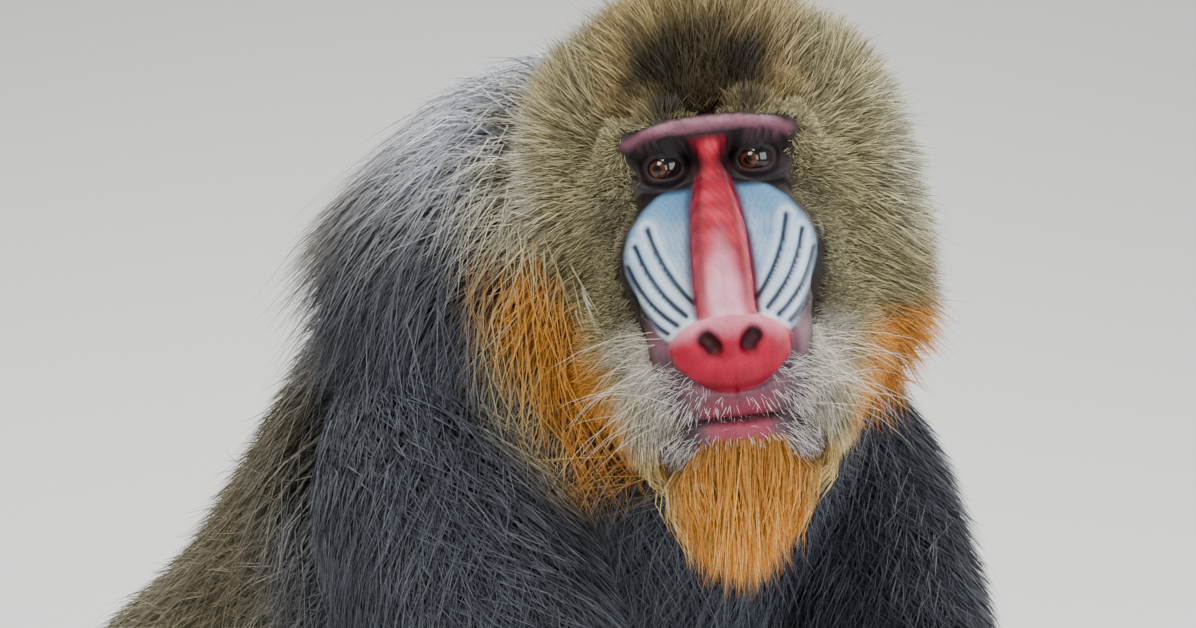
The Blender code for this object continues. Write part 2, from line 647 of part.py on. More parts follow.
def limb_gap(points):
    """Least distance from points to the tips of the coat on the limbs and tail."""
    best = np.full(len(points), 1.0)
    for stations in (UPPER_ARM, FOREARM, THIGH, SHIN, TAIL):
        for side in (1, -1):
            rows = curve(mirrored(stations, side), 12)
            gap = np.linalg.norm(points[:, None] - rows[None, :, :3], axis=2)
            gap = gap - rows[:, 3:6].max(1) - rows[:, 5]
            best = np.minimum(best, gap.min(1))
    return best


def lie_on_head(p):
    """The way the hair runs on the head, in its own frame: back over the crown, out and back over the
    cheeks and down at the jaw."""
    x, y, z = p
    side = math.copysign(min(abs(x) / 0.03, 1.0), x)
    crown = float(fade(z, -0.010, 0.030))
    jaw = float(fade(-z, 0.085, 0.115)) * float(fade(-y, -0.030, 0.010))
    cheek = max(0.0, 1 - crown - jaw)
    return unit(crown * np.array([0.20 * side, 0.95, 0.30]) + cheek * np.array([0.55 * side, 0.75, -0.50])
                + jaw * np.array([0.10 * side, 0.10, -1.0]))


def lock(root, way, length, width, rise, tree, collection):
    """A flat, tapered lock: its root is sunk in the core, and it bends along the surface at the height of
    the coat."""
    root, way = np.array(root), np.array(way)
    at, before, points = root, 0.0, []
    for share, wide, high in LOCK_RINGS:
        at = at + way * length * (share - before)
        found, normal, _, _ = tree.find_nearest(Vector(at))
        found, normal = np.array(found), np.array(normal)
        way = unit(way - normal * (way @ normal))
        at, before = found, share
        height = high * (LOCK_SINK if high < 0 else rise)
        centre, across = found + normal * height, np.cross(way, normal) * width * wide
        if wide == 0.0:
            points.append(centre)
        else:
            points += [centre + across - normal * width * wide * 0.12, centre + normal * width * wide * 0.30,
                       centre - across - normal * width * wide * 0.12]
    return lock_mesh(np.array(points), collection)


def straight_lock(root, way, facing, length, width, collection):
    """A flat, tapered lock that hangs free, such as one of the beard."""
    across = unit(np.cross(way, facing))
    points = []
    for share, wide, _ in LOCK_RINGS:
        centre = root + way * (length * share - (LOCK_SINK if share == 0 else 0))
        centre = centre - facing * length * 0.12 * share**2
        if wide == 0.0:
            points.append(centre)
        else:
            points += [centre + across * width * wide, centre + facing * width * wide * 0.35,
                       centre - across * width * wide]
    return lock_mesh(np.array(points), collection)


def lock_mesh(points, collection):
    """Closes three triangular rings and a tip."""
    faces = [(2, 1, 0)]
    for a in (0, 3):
        for i, j in ((0, 1), (1, 2), (2, 0)):
            faces += [(a + i, a + j, a + 3 + j), (a + i, a + 3 + j, a + 3 + i)]
    faces += [(6, 7, 9), (7, 8, 9), (8, 6, 9)]
    return add_object("lock", points, faces, collection)


def coat_locks(core, random, collection):
    """Locks over the long coat: random roots on the core, none closer than its kind asks."""
    points, ways, rises, kinds = lie_samples()
    form = bmesh.new()
    form.from_mesh(core.data)
    bmesh.ops.triangulate(form, faces=form.faces)
    tree = BVHTree.FromBMesh(form)
    ears = [from_head(EAR_AT * (side, 1, 1)) for side in (1, -1)]
    faces = list(form.faces)
    areas = np.array([face.calc_area() for face in faces])
    made, roots = [], []
    for pick in random.choice(len(faces), ROOT_TRIES, p=areas / areas.sum()):
        a, b = sorted(float(value) for value in random.random(2))
        corners = [v.co for v in faces[pick].verts]
        root = a * corners[0] + (b - a) * corners[1] + (1 - b) * corners[2]
        near = int(np.argmin(((points - np.array(root)) ** 2).sum(1)))
        beside_ear = min(np.linalg.norm(np.array(root) - ear) for ear in ears) < EAR_ROOM
        if not kinds[near] or root.z < LOWEST_ROOT or beside_ear:
            continue
        spacing, length, width = LOCKS[kinds[near]]
        vary = 0.85 + 0.3 * random.random()
        way = unit(ways[near] + 0.14 * random.standard_normal(3))
        path = np.array(root) + way * length * vary * np.linspace(0, 1, 5)[:, None]
        if limb_gap(path).min() < LIMB_ROOM or any((root - other).length < spacing for other in roots):
            continue
        roots.append(root)
        made.append(lock(root, way, length * vary, width * vary, rises[near], tree, collection))
    form.free()
    return made


def beard_locks(random, collection):
    """Rows of locks under the jaw that hang down and draw together to a point."""
    made = []
    for y, z, length in BEARD_ROWS:
        for x in np.linspace(-BEARD_HALF, BEARD_HALF, 6) + 0.002 * random.standard_normal(6):
            way = unit([-7.0 * x, -0.10, -1.0])
            root = np.array([x, y + 6.0 * x * x, z + 2.0 * x * x])
            reach = length * (1 - 7.0 * abs(x)) * (0.9 + 0.2 * random.random())
            facing = unit([4.0 * x, -1.0, 0.0])
            made.append(straight_lock(from_head(root), HEAD_TURN @ way, HEAD_TURN @ facing, reach,
                                      BEARD_LOCK, collection))
    return made


def prism(name, outline, low, high, collection, place=None):
    """An outline drawn in two axes and carried along the third: (axis, outline) with both ends closed."""
    axis, corners = outline
    count = len(corners)
    points = []
    for level in (low, high):
        for a, b in corners:
            point = [a, b]
            point.insert(axis, level)
            points.append(point)
    points = np.array(points, float)
    if place is not None:
        points = place(points)
    faces = [tuple(range(count)), tuple(range(2 * count - 1, count - 1, -1))]
    faces += [(i, (i + 1) % count, count + (i + 1) % count, count + i) for i in range(count)]
    return add_object(name, points, faces, collection)


def ball_object(name, centre, radius, rings, collection):
    form = bmesh.new()
    bmesh.ops.create_uvsphere(form, u_segments=2 * rings, v_segments=rings, radius=radius)
    bmesh.ops.triangulate(form, faces=form.faces)
    mesh = bpy.data.meshes.new(name)
    form.to_mesh(mesh)
    form.free()
    mesh.transform(Matrix.Translation([float(c) for c in centre]))
    made = bpy.data.objects.new(name, mesh)
    collection.objects.link(made)
    return made


def grown(obj, by, collection):
    """A copy of a closed mesh whose points are moved out along their normals."""
    copy = copied(obj, obj.name + "_grown", collection)
    count = len(copy.data.vertices)
    points, normals = np.empty(count * 3), np.empty(count * 3)
    copy.data.vertices.foreach_get("co", points)
    copy.data.vertex_normals.foreach_get("vector", normals)
    copy.data.vertices.foreach_set("co", points + normals * by)
    copy.data.update()
    return copy


# Where the animal is parted. Each outline is (x, y) of a prism that stands on the floor, or (y, z) of the
# head's own frame.
HAND_OUTLINE = ((-0.004, -0.165), (0.150, -0.165), (0.150, -0.420), (-0.004, -0.420))
FOOT_OUTLINE = ((0.085, 0.095), (0.300, 0.095), (0.300, -0.160), (0.085, -0.160))
WRIST_HEIGHT, ANKLE_HEIGHT = 0.056, 0.054
JAW_OUTLINE = ((-0.200, MOUTH_FRONT), (-0.098, MOUTH_FRONT), (MOUTH_END, MOUTH_FRONT + MOUTH_RISE * 0.068),
               (-0.020, -0.140), (-0.020, -0.260), (-0.200, -0.260))
HEAD_OUTLINE = ((-0.260, 0.180), (0.060, 0.180), (0.104, 0.080), (0.100, -0.030), (0.060, -0.112),
                (-0.012, -0.150), (-0.260, -0.150))
NECK_CUT = ((0.000, -0.030, 0.437), 0.30)
CHEST_CUT = ((0.000, 0.150, 0.228), 0.35)


def path_region(name, stations, room, across, collection, domed=False):
    """A tube round a limb, with some room outside the tips of its coat."""
    rows = coated(stations, fill=1.0)
    rows[:, 3:5] += room
    return add_tube(name, rows, across, 8, 4, collection, domed)


def half_space(name, point, way, size, collection):
    """A large block on one side of a plane across the trunk."""
    way = unit(way)
    side = np.array([1.0, 0.0, 0.0])
    up = np.cross(side, way)
    corners = [(-size, -size), (size, -size), (size, size), (-size, size)]
    points = [point + a * side + b * up + c * way for c in (0, size) for a, b in corners]
    faces = [(0, 1, 2, 3), (7, 6, 5, 4)] + [(i, (i + 1) % 4, 4 + (i + 1) % 4, 4 + i) for i in range(4)]
    return add_object(name, points, faces, collection)


def regions(collection):
    """The parting volumes in the order in which they are taken."""
    made = []
    for side, word in ((1, "left"), (-1, "right")):
        hand = [(x * side, y) for x, y in HAND_OUTLINE]
        foot = [(x * side, y) for x, y in FOOT_OUTLINE]
        made.append((f"hand_{word}", prism("region", (2, hand), -0.02, WRIST_HEIGHT, collection)))
        made.append((f"foot_{word}", prism("region", (2, foot), -0.02, ANKLE_HEIGHT, collection)))
        shin, thigh = mirrored(SHIN, side), mirrored(THIGH, side)
        forearm, arm = mirrored(FOREARM, side), mirrored(UPPER_ARM, side)
        shin = np.vstack([shin, shin[-1] + (0, 0, -0.03, 0, 0, 0)])
        made.append((f"shin_{word}", path_region("region", shin, 0.020, (1, 0, 0), collection)))
        knee = thigh[-1] + (thigh[-1] - thigh[-2]) * 2.0
        start = thigh[0] + (thigh[1] - thigh[0]) * 0.45
        thigh = np.vstack([start, thigh[1:], knee])
        thigh[:, 3:5] = np.maximum(thigh[:, 3:5], 0.030)
        made.append((f"thigh_{word}", path_region("region", thigh, 0.012, (1, 1, 0), collection)))
        forearm = np.vstack([forearm, forearm[-1] + (0, 0, -0.03, 0, 0, 0)])
        made.append((f"forearm_{word}", path_region("region", forearm, 0.020, (1, 0, 0), collection)))
        arm = np.vstack([arm, arm[-1] + (arm[-1] - arm[-2]) * 0.8])
        arm[:, 3:5] = np.maximum(arm[:, 3:5], 0.030)
        made.append((f"upper_arm_{word}", path_region("region", arm, 0.008, (1, 0, 0), collection, True)))
    tail = np.array(TAIL)
    tail = np.vstack([tail[0] + (tail[1] - tail[0]) * 0.75, tail[1:], tail[-1] + (0, 0, 0.08, 0, 0, 0)])
    made.append(("tail", path_region("region", tail, 0.012, (1, 0, 0), collection)))
    made.append(("lower_jaw", prism("region", (0, JAW_OUTLINE), -0.062, 0.062, collection, from_head)))
    made.append(("head", prism("region", (0, HEAD_OUTLINE), -0.135, 0.135, collection, from_head)))
    path = curve(TRUNK, 60)[:, :3]
    way = unit(np.gradient(path, axis=0))
    for name, (point, size) in (("neck", NECK_CUT), ("chest", CHEST_CUT)):
        near = np.argmin(np.linalg.norm(path - point, axis=1))
        made.append((name, half_space("region", np.array(point), way[near], size, collection)))
    return made


def eased(node):
    """Closes up edges of no length, and draws back the points where a surface touches itself."""
    form = bmesh.new()
    form.from_mesh(node.data)
    bmesh.ops.dissolve_degenerate(form, edges=form.edges, dist=TOUCH)
    bmesh.ops.triangulate(form, faces=form.faces)
    form.normal_update()
    form.verts.ensure_lookup_table()
    tree = KDTree(len(form.verts))
    for vertex in form.verts:
        tree.insert(vertex.co, vertex.index)
    tree.balance()
    for vertex in [v for v in form.verts if len(tree.find_range(v.co, TOUCH)) > 1]:
        vertex.co -= vertex.normal * DRAW_BACK
    form.to_mesh(node.data)
    form.free()


def tidied(node):
    """Takes out the flat fragments that the cuts left, where the node stays closed without them."""
    form = bmesh.new()
    form.from_mesh(node.data)
    bmesh.ops.dissolve_limit(form, angle_limit=FLAT_ANGLE, verts=form.verts, edges=form.edges)
    bmesh.ops.triangulate(form, faces=form.faces)
    if all(edge.is_manifold for edge in form.edges):
        form.to_mesh(node.data)
    form.free()


def finish(collection):
    """Gives each node its material and sets the middle of the whole box over the origin."""
    corners = []
    for node in collection.objects:
        stem = node.name.replace("_left", "").replace("_right", "")
        node.data.materials.clear()
        node.data.materials.append(material(stem + "_finish", FINISHES.get(stem, OLIVE)))
        corners += [v.co for v in node.data.vertices]
    corners = np.array(corners)
    middle = (corners.min(0) + corners.max(0)) / 2
    for node in collection.objects:
        node.data.transform(Matrix.Translation((-middle[0], -middle[1], 0)))


def joined_core(random, collection):
    """The whole animal without its eyes and ears: head, body and extremities, then the locks."""
    tubes = [add_tube("trunk_core", coated(TRUNK), (1, 0, 0), 28, 22, collection),
             add_tube("tail_core", coated(TAIL), (1, 0, 0), 10, 7, collection)]
    parts = []
    for side in (1, -1):
        for name, stations, across in (("upper_arm", UPPER_ARM, (1, 0, 0)), ("forearm", FOREARM, (1, 0, 0)),
                                       ("thigh", THIGH, (1, 1, 0)), ("shin", SHIN, (1, 0, 0))):
            axis = np.array(across, float) * (side, 1, 1)
            tubes.append(add_tube(f"{name}_core", coated(stations, side, 1.0), axis, 16, 9, collection))
        parts.append(extremity("hand_core", PALM, FINGERS + (THUMB,), WRIST, HAND_TURN, side, collection))
        parts.append(extremity("foot_core", SOLE, TOES + (GREAT_TOE,), HEEL, FOOT_TURN, side, collection))
    parts.append(smooth_body(tubes, collection))
    rings = head_points(96, 104)
    rings = from_head(rings.reshape(-1, 3)).reshape(rings.shape)
    head = add_rings("head_core", rings, rings[[0, -1]].mean(1), collection)
    head = thinned(head, HEAD_TRIANGLES, collection)
    ears = made_ears(head, collection)
    core = combine(head, parts, "UNION")
    locks = coat_locks(core, random, collection) + beard_locks(random, collection)
    whole = combine(core, locks, "UNION")
    eased(whole)
    return whole, ears


def made_ears(head, collection):
    """The two ears, cut free of the head."""
    ears = []
    head_skin = grown(head, GAP, collection)
    for side, word in ((1, "left"), (-1, "right")):
        rings = from_head(ear_rings(side).reshape(-1, 3)).reshape(-1, 18, 3)
        ear = add_rings(f"ear_{word}", rings, rings[[0, -1]].mean(1), collection)
        ears.append(combine(ear, [copied(head_skin, "cut", collection)], "DIFFERENCE"))
    bpy.data.objects.remove(head_skin)
    return ears


def main():
    clear_scene()
    scene = bpy.context.scene
    animal = bpy.data.collections.new("mandrill")
    workshop = bpy.data.collections.new("workshop")
    for made in (animal, workshop):
        scene.collection.children.link(made)
    whole, ears = joined_core(np.random.default_rng(SEED), workshop)
    cuts = [grown(ear, GAP, workshop) for ear in ears]
    for ear in ears:
        workshop.objects.unlink(ear)
        animal.objects.link(ear)
    for side, word in ((1, "left"), (-1, "right")):
        centre = from_head(EYE * (side, 1, 1))
        ball_object(f"eye_{word}", centre, EYE_RADIUS, 8, animal)
        cuts.append(ball_object("socket", centre, EYE_RADIUS + GAP, 10, workshop))
    cuts.append(prism("floor", (2, [(-1, -1), (1, -1), (1, 1), (-1, 1)]), -1, FLOOR, workshop))
    whole = combine(whole, cuts, "DIFFERENCE")
    whole = combine(whole, [copied(ear, "cut", workshop) for ear in ears], "DIFFERENCE")
    for name, region in regions(workshop):
        cutter = grown(region, GAP, workshop)
        node = combine(copied(whole, name, animal), [region], "INTERSECT")
        whole = combine(whole, [cutter], "DIFFERENCE")
    copied(whole, "hips", animal)
    for node in list(animal.objects):
        keep_largest(node)
        if not node.name.startswith(("ear", "eye")):
            eased(node)
            tidied(node)
            keep_largest(node)
    for helper in list(workshop.objects):
        bpy.data.objects.remove(helper)
    finish(animal)


main()
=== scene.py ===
"""Looks of the life-size mandrill: painted skin, eyes, ears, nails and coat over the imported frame."""
import math

import bpy
import numpy as np
from mathutils import Matrix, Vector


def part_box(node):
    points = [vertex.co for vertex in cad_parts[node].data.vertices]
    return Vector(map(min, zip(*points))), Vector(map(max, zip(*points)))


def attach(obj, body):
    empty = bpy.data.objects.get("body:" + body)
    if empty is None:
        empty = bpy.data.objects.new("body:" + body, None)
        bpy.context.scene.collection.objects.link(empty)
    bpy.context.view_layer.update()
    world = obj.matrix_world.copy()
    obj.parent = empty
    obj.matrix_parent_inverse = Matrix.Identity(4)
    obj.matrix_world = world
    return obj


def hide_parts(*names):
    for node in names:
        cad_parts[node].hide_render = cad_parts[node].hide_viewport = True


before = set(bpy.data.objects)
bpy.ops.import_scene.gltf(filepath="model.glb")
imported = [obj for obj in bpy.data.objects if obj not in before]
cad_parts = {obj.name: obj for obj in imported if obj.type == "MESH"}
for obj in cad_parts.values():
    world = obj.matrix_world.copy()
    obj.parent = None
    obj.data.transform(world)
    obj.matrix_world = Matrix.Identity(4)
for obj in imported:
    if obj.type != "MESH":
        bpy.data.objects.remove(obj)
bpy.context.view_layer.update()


# The bare head
# Real piece: bare, ridged skin of the face, and thin skin under the hair of crown, cheeks and jaw.
# Made as a field of softly blended rods with the sockets, lids, nostrils and folds cut in, reached inwards
# along rays that fan round the head.

HEAD_YAW, HEAD_PITCH, HEAD_ROLL, FACING = -41.0, -4.5, -6.5, -40.0
EYE = np.array([0.0228, -0.0030, 0.0])
EYE_RADIUS = 0.0108


def turn(degrees, axis):
    """A rotation matrix about X, Y or Z."""
    c, s = math.cos(math.radians(degrees)), math.sin(math.radians(degrees))
    i, j = {"X": (1, 2), "Y": (2, 0), "Z": (0, 1)}[axis]
    made = np.eye(3)
    made[i, i], made[j, j], made[i, j], made[j, i] = c, c, -s, s
    return made

HEAD_TURN = turn(FACING, "Z") @ turn(HEAD_PITCH, "X") @ turn(HEAD_YAW - FACING, "Z") @ turn(HEAD_ROLL, "Y")
EYES_DESIGNED = np.array([-0.052, -0.166, 0.540])
eye_boxes = np.array([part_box(f"eye_{side}") for side in ("left", "right")])
EYES_AT = eye_boxes.mean((0, 1)) - EYE * (0, 1, 1) @ HEAD_TURN.T
SHIFT = EYES_AT - EYES_DESIGNED


def from_head(points):
    """Carries points of the head's own frame into the model."""
    return np.asarray(points, float) @ HEAD_TURN.T + EYES_AT


def to_head(points):
    """Carries points of the model into the head's own frame: X to its left, Y backward, Z up."""
    return (np.asarray(points, float) - EYES_AT) @ HEAD_TURN


# Each soft rod is its start, its end, the radius at each, and how wide it blends into the rest.
HEAD_RODS = (
    # cranium, low behind the brow
    ((0.000, 0.046, 0.004), (0.000, 0.088, 0.000), 0.048, 0.050, 0.020),
    ((0.030, 0.036, 0.000), (0.034, 0.082, -0.004), 0.034, 0.036, 0.020),
    # brow ridge
    ((0.000, -0.0120, 0.0170), (0.022, -0.0125, 0.0174), 0.0068, 0.0076, 0.005),
    ((0.022, -0.0125, 0.0174), (0.043, -0.0005, 0.0135), 0.0076, 0.0062, 0.005),
    # outer rim of the socket and the cheek bone
    ((0.044, 0.0010, 0.0120), (0.046, 0.0060, -0.0080), 0.0065, 0.0085, 0.008),
    ((0.042, 0.0060, -0.0120), (0.054, 0.0350, -0.0180), 0.0120, 0.0160, 0.012),
    # under the eye
    ((0.018, 0.0020, -0.0150), (0.038, 0.0030, -0.0145), 0.0080, 0.0080, 0.006),
    # jaw muscles and jaw angle
    ((0.050, 0.035, -0.020), (0.042, 0.032, -0.080), 0.020, 0.024, 0.020),
    ((0.038, 0.000, -0.045), (0.036, 0.010, -0.090), 0.018, 0.022, 0.020),
    # muzzle core
    ((0.014, -0.004, -0.030), (0.018, -0.074, -0.090), 0.024, 0.0210, 0.012),
    ((0.016, -0.010, -0.055), (0.019, -0.070, -0.110), 0.024, 0.0210, 0.012),
    # swellings beside the nose
    ((0.0255, -0.0150, -0.0215), (0.0325, -0.0290, -0.0400), 0.0125, 0.0155, 0.006),
    ((0.0325, -0.0290, -0.0400), (0.0285, -0.0620, -0.0680), 0.0155, 0.0125, 0.006),
    ((0.0285, -0.0620, -0.0680), (0.0230, -0.0800, -0.0830), 0.0125, 0.0080, 0.006),
    # nose bridge
    ((0.0000, -0.0110, 0.0090), (0.0000, -0.0210, -0.0080), 0.0060, 0.0085, 0.005),
    ((0.0000, -0.0210, -0.0080), (0.0038, -0.0470, -0.0340), 0.0085, 0.0115, 0.003),
    ((0.0038, -0.0470, -0.0340), (0.0050, -0.0900, -0.0750), 0.0115, 0.0105, 0.003),
    # nose pad: roof, wings, septum and base
    ((0.0000, -0.1000, -0.0830), (0.0165, -0.0950, -0.0850), 0.0124, 0.0112, 0.004),
    ((0.0150, -0.1000, -0.0905), (0.0215, -0.0945, -0.0930), 0.0106, 0.0086, 0.004),
    ((0.0000, -0.1095, -0.0865), (0.0000, -0.1050, -0.1035), 0.0050, 0.0060, 0.004),
    ((0.0040, -0.1015, -0.1015), (0.0145, -0.0975, -0.1005), 0.0112, 0.0098, 0.005),
    # upper lip
    ((0.0000, -0.0970, -0.1135), (0.0200, -0.0900, -0.1130), 0.0108, 0.0113, 0.006),
    ((0.0200, -0.0900, -0.1130), (0.0310, -0.0600, -0.1050), 0.0113, 0.0125, 0.008),
    # lower lip and chin
    ((0.0000, -0.0960, -0.1315), (0.0160, -0.0900, -0.1310), 0.0072, 0.0080, 0.005),
    ((0.0160, -0.0900, -0.1310), (0.0275, -0.0660, -0.1270), 0.0080, 0.0100, 0.006),
    ((0.0000, -0.0840, -0.1350), (0.0180, -0.0760, -0.1340), 0.0120, 0.0120, 0.008),
    # lower jaw and throat
    ((0.0240, -0.0640, -0.1260), (0.0380, 0.0200, -0.0880), 0.0150, 0.0220, 0.016),
    ((0.0000, -0.0450, -0.1180), (0.0000, 0.0300, -0.0800), 0.0220, 0.0400, 0.020),
    ((0.0000, 0.0500, -0.0450), (0.0000, 0.1000, -0.0500), 0.0500, 0.0560, 0.030),
)
# Grooves of the swellings from the front: (x, z) high on the side, (x, z) by the nose, and the bow between.
GROOVES = (
    ((0.0345, -0.0290), (0.0155, -0.0670), 0.0030),
    ((0.0415, -0.0370), (0.0200, -0.0725), 0.0032),
    ((0.0462, -0.0470), (0.0250, -0.0765), 0.0028),
    ((0.0455, -0.0600), (0.0300, -0.0800), 0.0020),
)
# A nostril's path and its radius
NOSTRIL = ((0.0116, -0.1085, -0.0840), (0.0100, -0.1098, -0.0855), (0.0086, -0.1100, -0.0878))
NOSTRIL_RADIUS = 0.0035
# The nose pad's lower edge from the front, as (x, z) from the middle outwards and up
PAD_EDGE = np.array([[0.0, -0.1095], [0.012, -0.1085], [0.0225, -0.1040], [0.0300, -0.0960],
                     [0.0300, -0.0860], [0.023, -0.0755]])
# The swellings' middle, as (z, y), and the nose bridge's half width, as (z, x)
SWELLING_FRONT = np.array([[-0.083, -0.088], [-0.068, -0.072], [-0.040, -0.040], [-0.020, -0.025]])
BRIDGE_BORDER = np.array([[-0.078, 0.0150], [-0.060, 0.0156], [-0.040, 0.0150], [-0.020, 0.0125],
                          [-0.008, 0.0090]])
OPENING_HALF = (0.0122, 0.0052)  # half the width and height of the eye's opening
# The closed mouth's line: its height in front, how steeply it rises backwards, and where it ends
MOUTH_FRONT, MOUTH_RISE, MOUTH_END = -0.1245, 0.32, -0.030
# The axis that the head's rays start from, from the cranium to the muzzle
HEAD_AXIS = np.array([[0.0, 0.070, -0.010], [0.0, -0.058, -0.096]])
SOCKET_AT, SOCKET_RADII = (0.001, -0.0140, -0.0012), (0.0160, 0.0120, 0.0115)  # from the eyeball's middle
LID = 0.0013  # thickness of the lids over the eyeball

def curve(points, steps):
    """A smooth curve through a few rows of numbers (Catmull-Rom), read at even steps."""
    p = np.asarray(points, float)
    p = np.vstack([2 * p[0] - p[1], p, 2 * p[-1] - p[-2]])
    t = np.linspace(0, len(p) - 3, steps)
    i = np.minimum(t.astype(int), len(p) - 4)
    f = (t - i)[:, None]
    a, b, c, d = p[i], p[i + 1], p[i + 2], p[i + 3]
    square, cube = (2 * a - 5 * b + 4 * c - d) * f**2, (3 * b - a - 3 * c + d) * f**3
    return 0.5 * (2 * b + (c - a) * f + square + cube)

def unit(v):
    v = np.asarray(v, float)
    return v / np.maximum(np.linalg.norm(v, axis=-1, keepdims=True), 1e-12)

def rod_distance(points, start, end, start_radius, end_radius):
    """Distance to a rod whose radius runs evenly from its start to its end."""
    start, end = np.asarray(start, float), np.asarray(end, float)
    along = end - start
    share = np.clip((points - start) @ along / (along @ along), 0, 1)
    gap = np.linalg.norm(points - start - share[:, None] * along, axis=1)
    return gap - (start_radius + share * (end_radius - start_radius))


def soft_union(a, b, width):
    """The smaller of two distances, rounded where they are within width of each other."""
    share = np.clip(0.5 + 0.5 * (b - a) / width, 0, 1)
    return b + (a - b) * share - width * share * (1 - share)


def soft_cut(a, b, width):
    return -soft_union(-a, b, width)


def ball(points, centre, radii):
    """Rough distance to an ellipsoid."""
    p = (points - np.asarray(centre)) / np.asarray(radii)
    near = np.linalg.norm(p, axis=1)
    steep = np.linalg.norm(p / np.asarray(radii), axis=1)
    return near * (near - 1) / np.maximum(steep, 1e-9)


def to_line(points, line):
    """Least distance from each point to a run of short straight pieces."""
    best = np.full(len(points), 1.0)
    for a, b in zip(line[:-1], line[1:]):
        along = b - a
        share = np.clip((points - a) @ along / max(along @ along, 1e-12), 0, 1)
        best = np.minimum(best, np.linalg.norm(points - a - share[:, None] * along, axis=1))
    return best


def dip(gap, width):
    return np.exp(-((gap / width) ** 2))


def fade(value, start, end):
    """Runs smoothly from 0 at start to 1 at end."""
    t = np.clip((value - start) / (end - start), 0, 1)
    return t * t * (3 - 2 * t)


def groove_line(start, end, bow, steps=7):
    """A groove as a bowed line in the front view."""
    start, end = np.array(start), np.array(end)
    t = np.linspace(0, 1, steps)[:, None]
    run = end - start
    side = np.array([-run[1], run[0]]) / np.linalg.norm(run)
    return start + t * run + 4 * bow * t * (1 - t) * side


def mouth_height(y):
    """Height of the closed mouth's line, which rises towards its corners."""
    return MOUTH_FRONT + MOUTH_RISE * np.maximum(y + 0.098, 0)


def face_relief(p):
    """Depth of the folds: the swellings' grooves, the bridge's furrows, the mouth's line and the groove of
    the lip."""
    x, y, z = np.abs(p[:, 0]), p[:, 1], p[:, 2]
    flat = np.column_stack([x, z])
    depth = np.zeros(len(p))
    for start, end, bow in GROOVES:
        depth = np.maximum(depth, 0.0021 * dip(to_line(flat, groove_line(start, end, bow)), 0.0014))
    depth *= fade(np.interp(z, *SWELLING_FRONT.T) + 0.018 - y, 0.0, 0.008)
    border = np.interp(z, BRIDGE_BORDER[:, 0], BRIDGE_BORDER[:, 1])
    front = fade(z, -0.080, -0.070) * fade(-z, 0.004, 0.014) * fade(-y, 0.010, 0.020)
    depth = depth + 0.0022 * dip(x - border, 0.0018) * front
    depth = depth + 0.0020 * dip(to_line(flat, PAD_EDGE), 0.0020) * fade(-y, 0.066, 0.080)
    lips = fade(-y, 0.045, 0.075) * (1 - 0.65 * fade(x, 0.013, 0.028))
    depth = depth + 0.0030 * dip(z - mouth_height(y), 0.0016) * lips * (z < -0.07)
    return depth + 0.0009 * dip(x, 0.0014) * fade(-z, 0.102, 0.106) * fade(z, -0.122, -0.117) * (y < -0.08)

def head_distance(points):
    """Signed distance to the head: rods blended, then the sockets, lids, nostrils, folds."""
    p = points.copy()
    p[:, 0] = np.sqrt(p[:, 0] ** 2 + 0.0005**2)
    far = None
    for start, end, start_radius, end_radius, width in HEAD_RODS:
        gap = rod_distance(p, start, end, start_radius, end_radius)
        far = gap if far is None else soft_union(far, gap, width)
    far = soft_cut(far, ball(p, EYE + SOCKET_AT, SOCKET_RADII), 0.006)
    far = soft_union(far, np.linalg.norm(p - EYE, axis=1) - (EYE_RADIUS + LID), 0.003)
    opening = (OPENING_HALF[0], 0.0075, OPENING_HALF[1])
    far = soft_cut(far, ball(p, EYE + (0.0, -0.0115, 0.0), opening), 0.0012)
    far = soft_cut(far, to_line(p, curve(NOSTRIL, 6)) - NOSTRIL_RADIUS, 0.003)
    return far + face_relief(p)

def head_points(around, along, steps=40, reach=0.20):
    """Points of the head on a grid: rays fan round the back of an axis, lean forward along it and fan round
    its front, and each is followed inwards by the distance left until it meets the head."""
    t = np.linspace(0, 1, along)
    share = 0.6 * fade(t, 0.16, 0.80) + 0.4 * np.clip((t - 0.16) / 0.64, 0, 1)
    fan = np.interp(t, [0, 0.16, 0.34, 0.66, 1.0], [0, 0.44, 0.66, 0.70, 1.0]) * math.pi
    axis = HEAD_AXIS[1] - HEAD_AXIS[0]
    forward = unit(axis)
    up = np.array([0.0, forward[2], -forward[1]])
    u = np.linspace(0, 2 * math.pi, around, endpoint=False)
    angle = u - 0.35 * np.sin(u)  # crowds the columns over the top of the muzzle
    ring = np.cos(angle)[:, None] * up + np.sin(angle)[:, None] * np.array([1.0, 0.0, 0.0])
    origins = np.repeat((HEAD_AXIS[0] + share[:, None] * axis)[:, None], around, 1).reshape(-1, 3)
    rays = -np.cos(fan)[:, None, None] * forward + np.sin(fan)[:, None, None] * ring[None]
    rays = rays.reshape(-1, 3)
    reached = np.full(len(origins), reach)
    for _ in range(steps):
        reached -= 0.85 * head_distance(origins + reached[:, None] * rays)
    return (origins + reached[:, None] * rays).reshape(along, around, 3)


def tube_faces(along, around):
    """Quads of a tube of rings, then triangles up to its two end points, as the corners in a row and each
    face's size."""
    index = np.arange(along * around).reshape(along, around)
    a, b = index[:-1], index[1:]
    quads = np.stack([a, np.roll(a, -1, 1), np.roll(b, -1, 1), b], -1)
    first, last = np.full((2, around), [[along * around], [along * around + 1]])
    low = np.stack([np.roll(index[0], -1), index[0], first], -1)
    high = np.stack([index[-1], np.roll(index[-1], -1), last], -1)
    sizes = np.repeat([4, 3], [quads.size // 4, 2 * around])
    return np.concatenate([quads.ravel(), low.ravel(), high.ravel()]), sizes


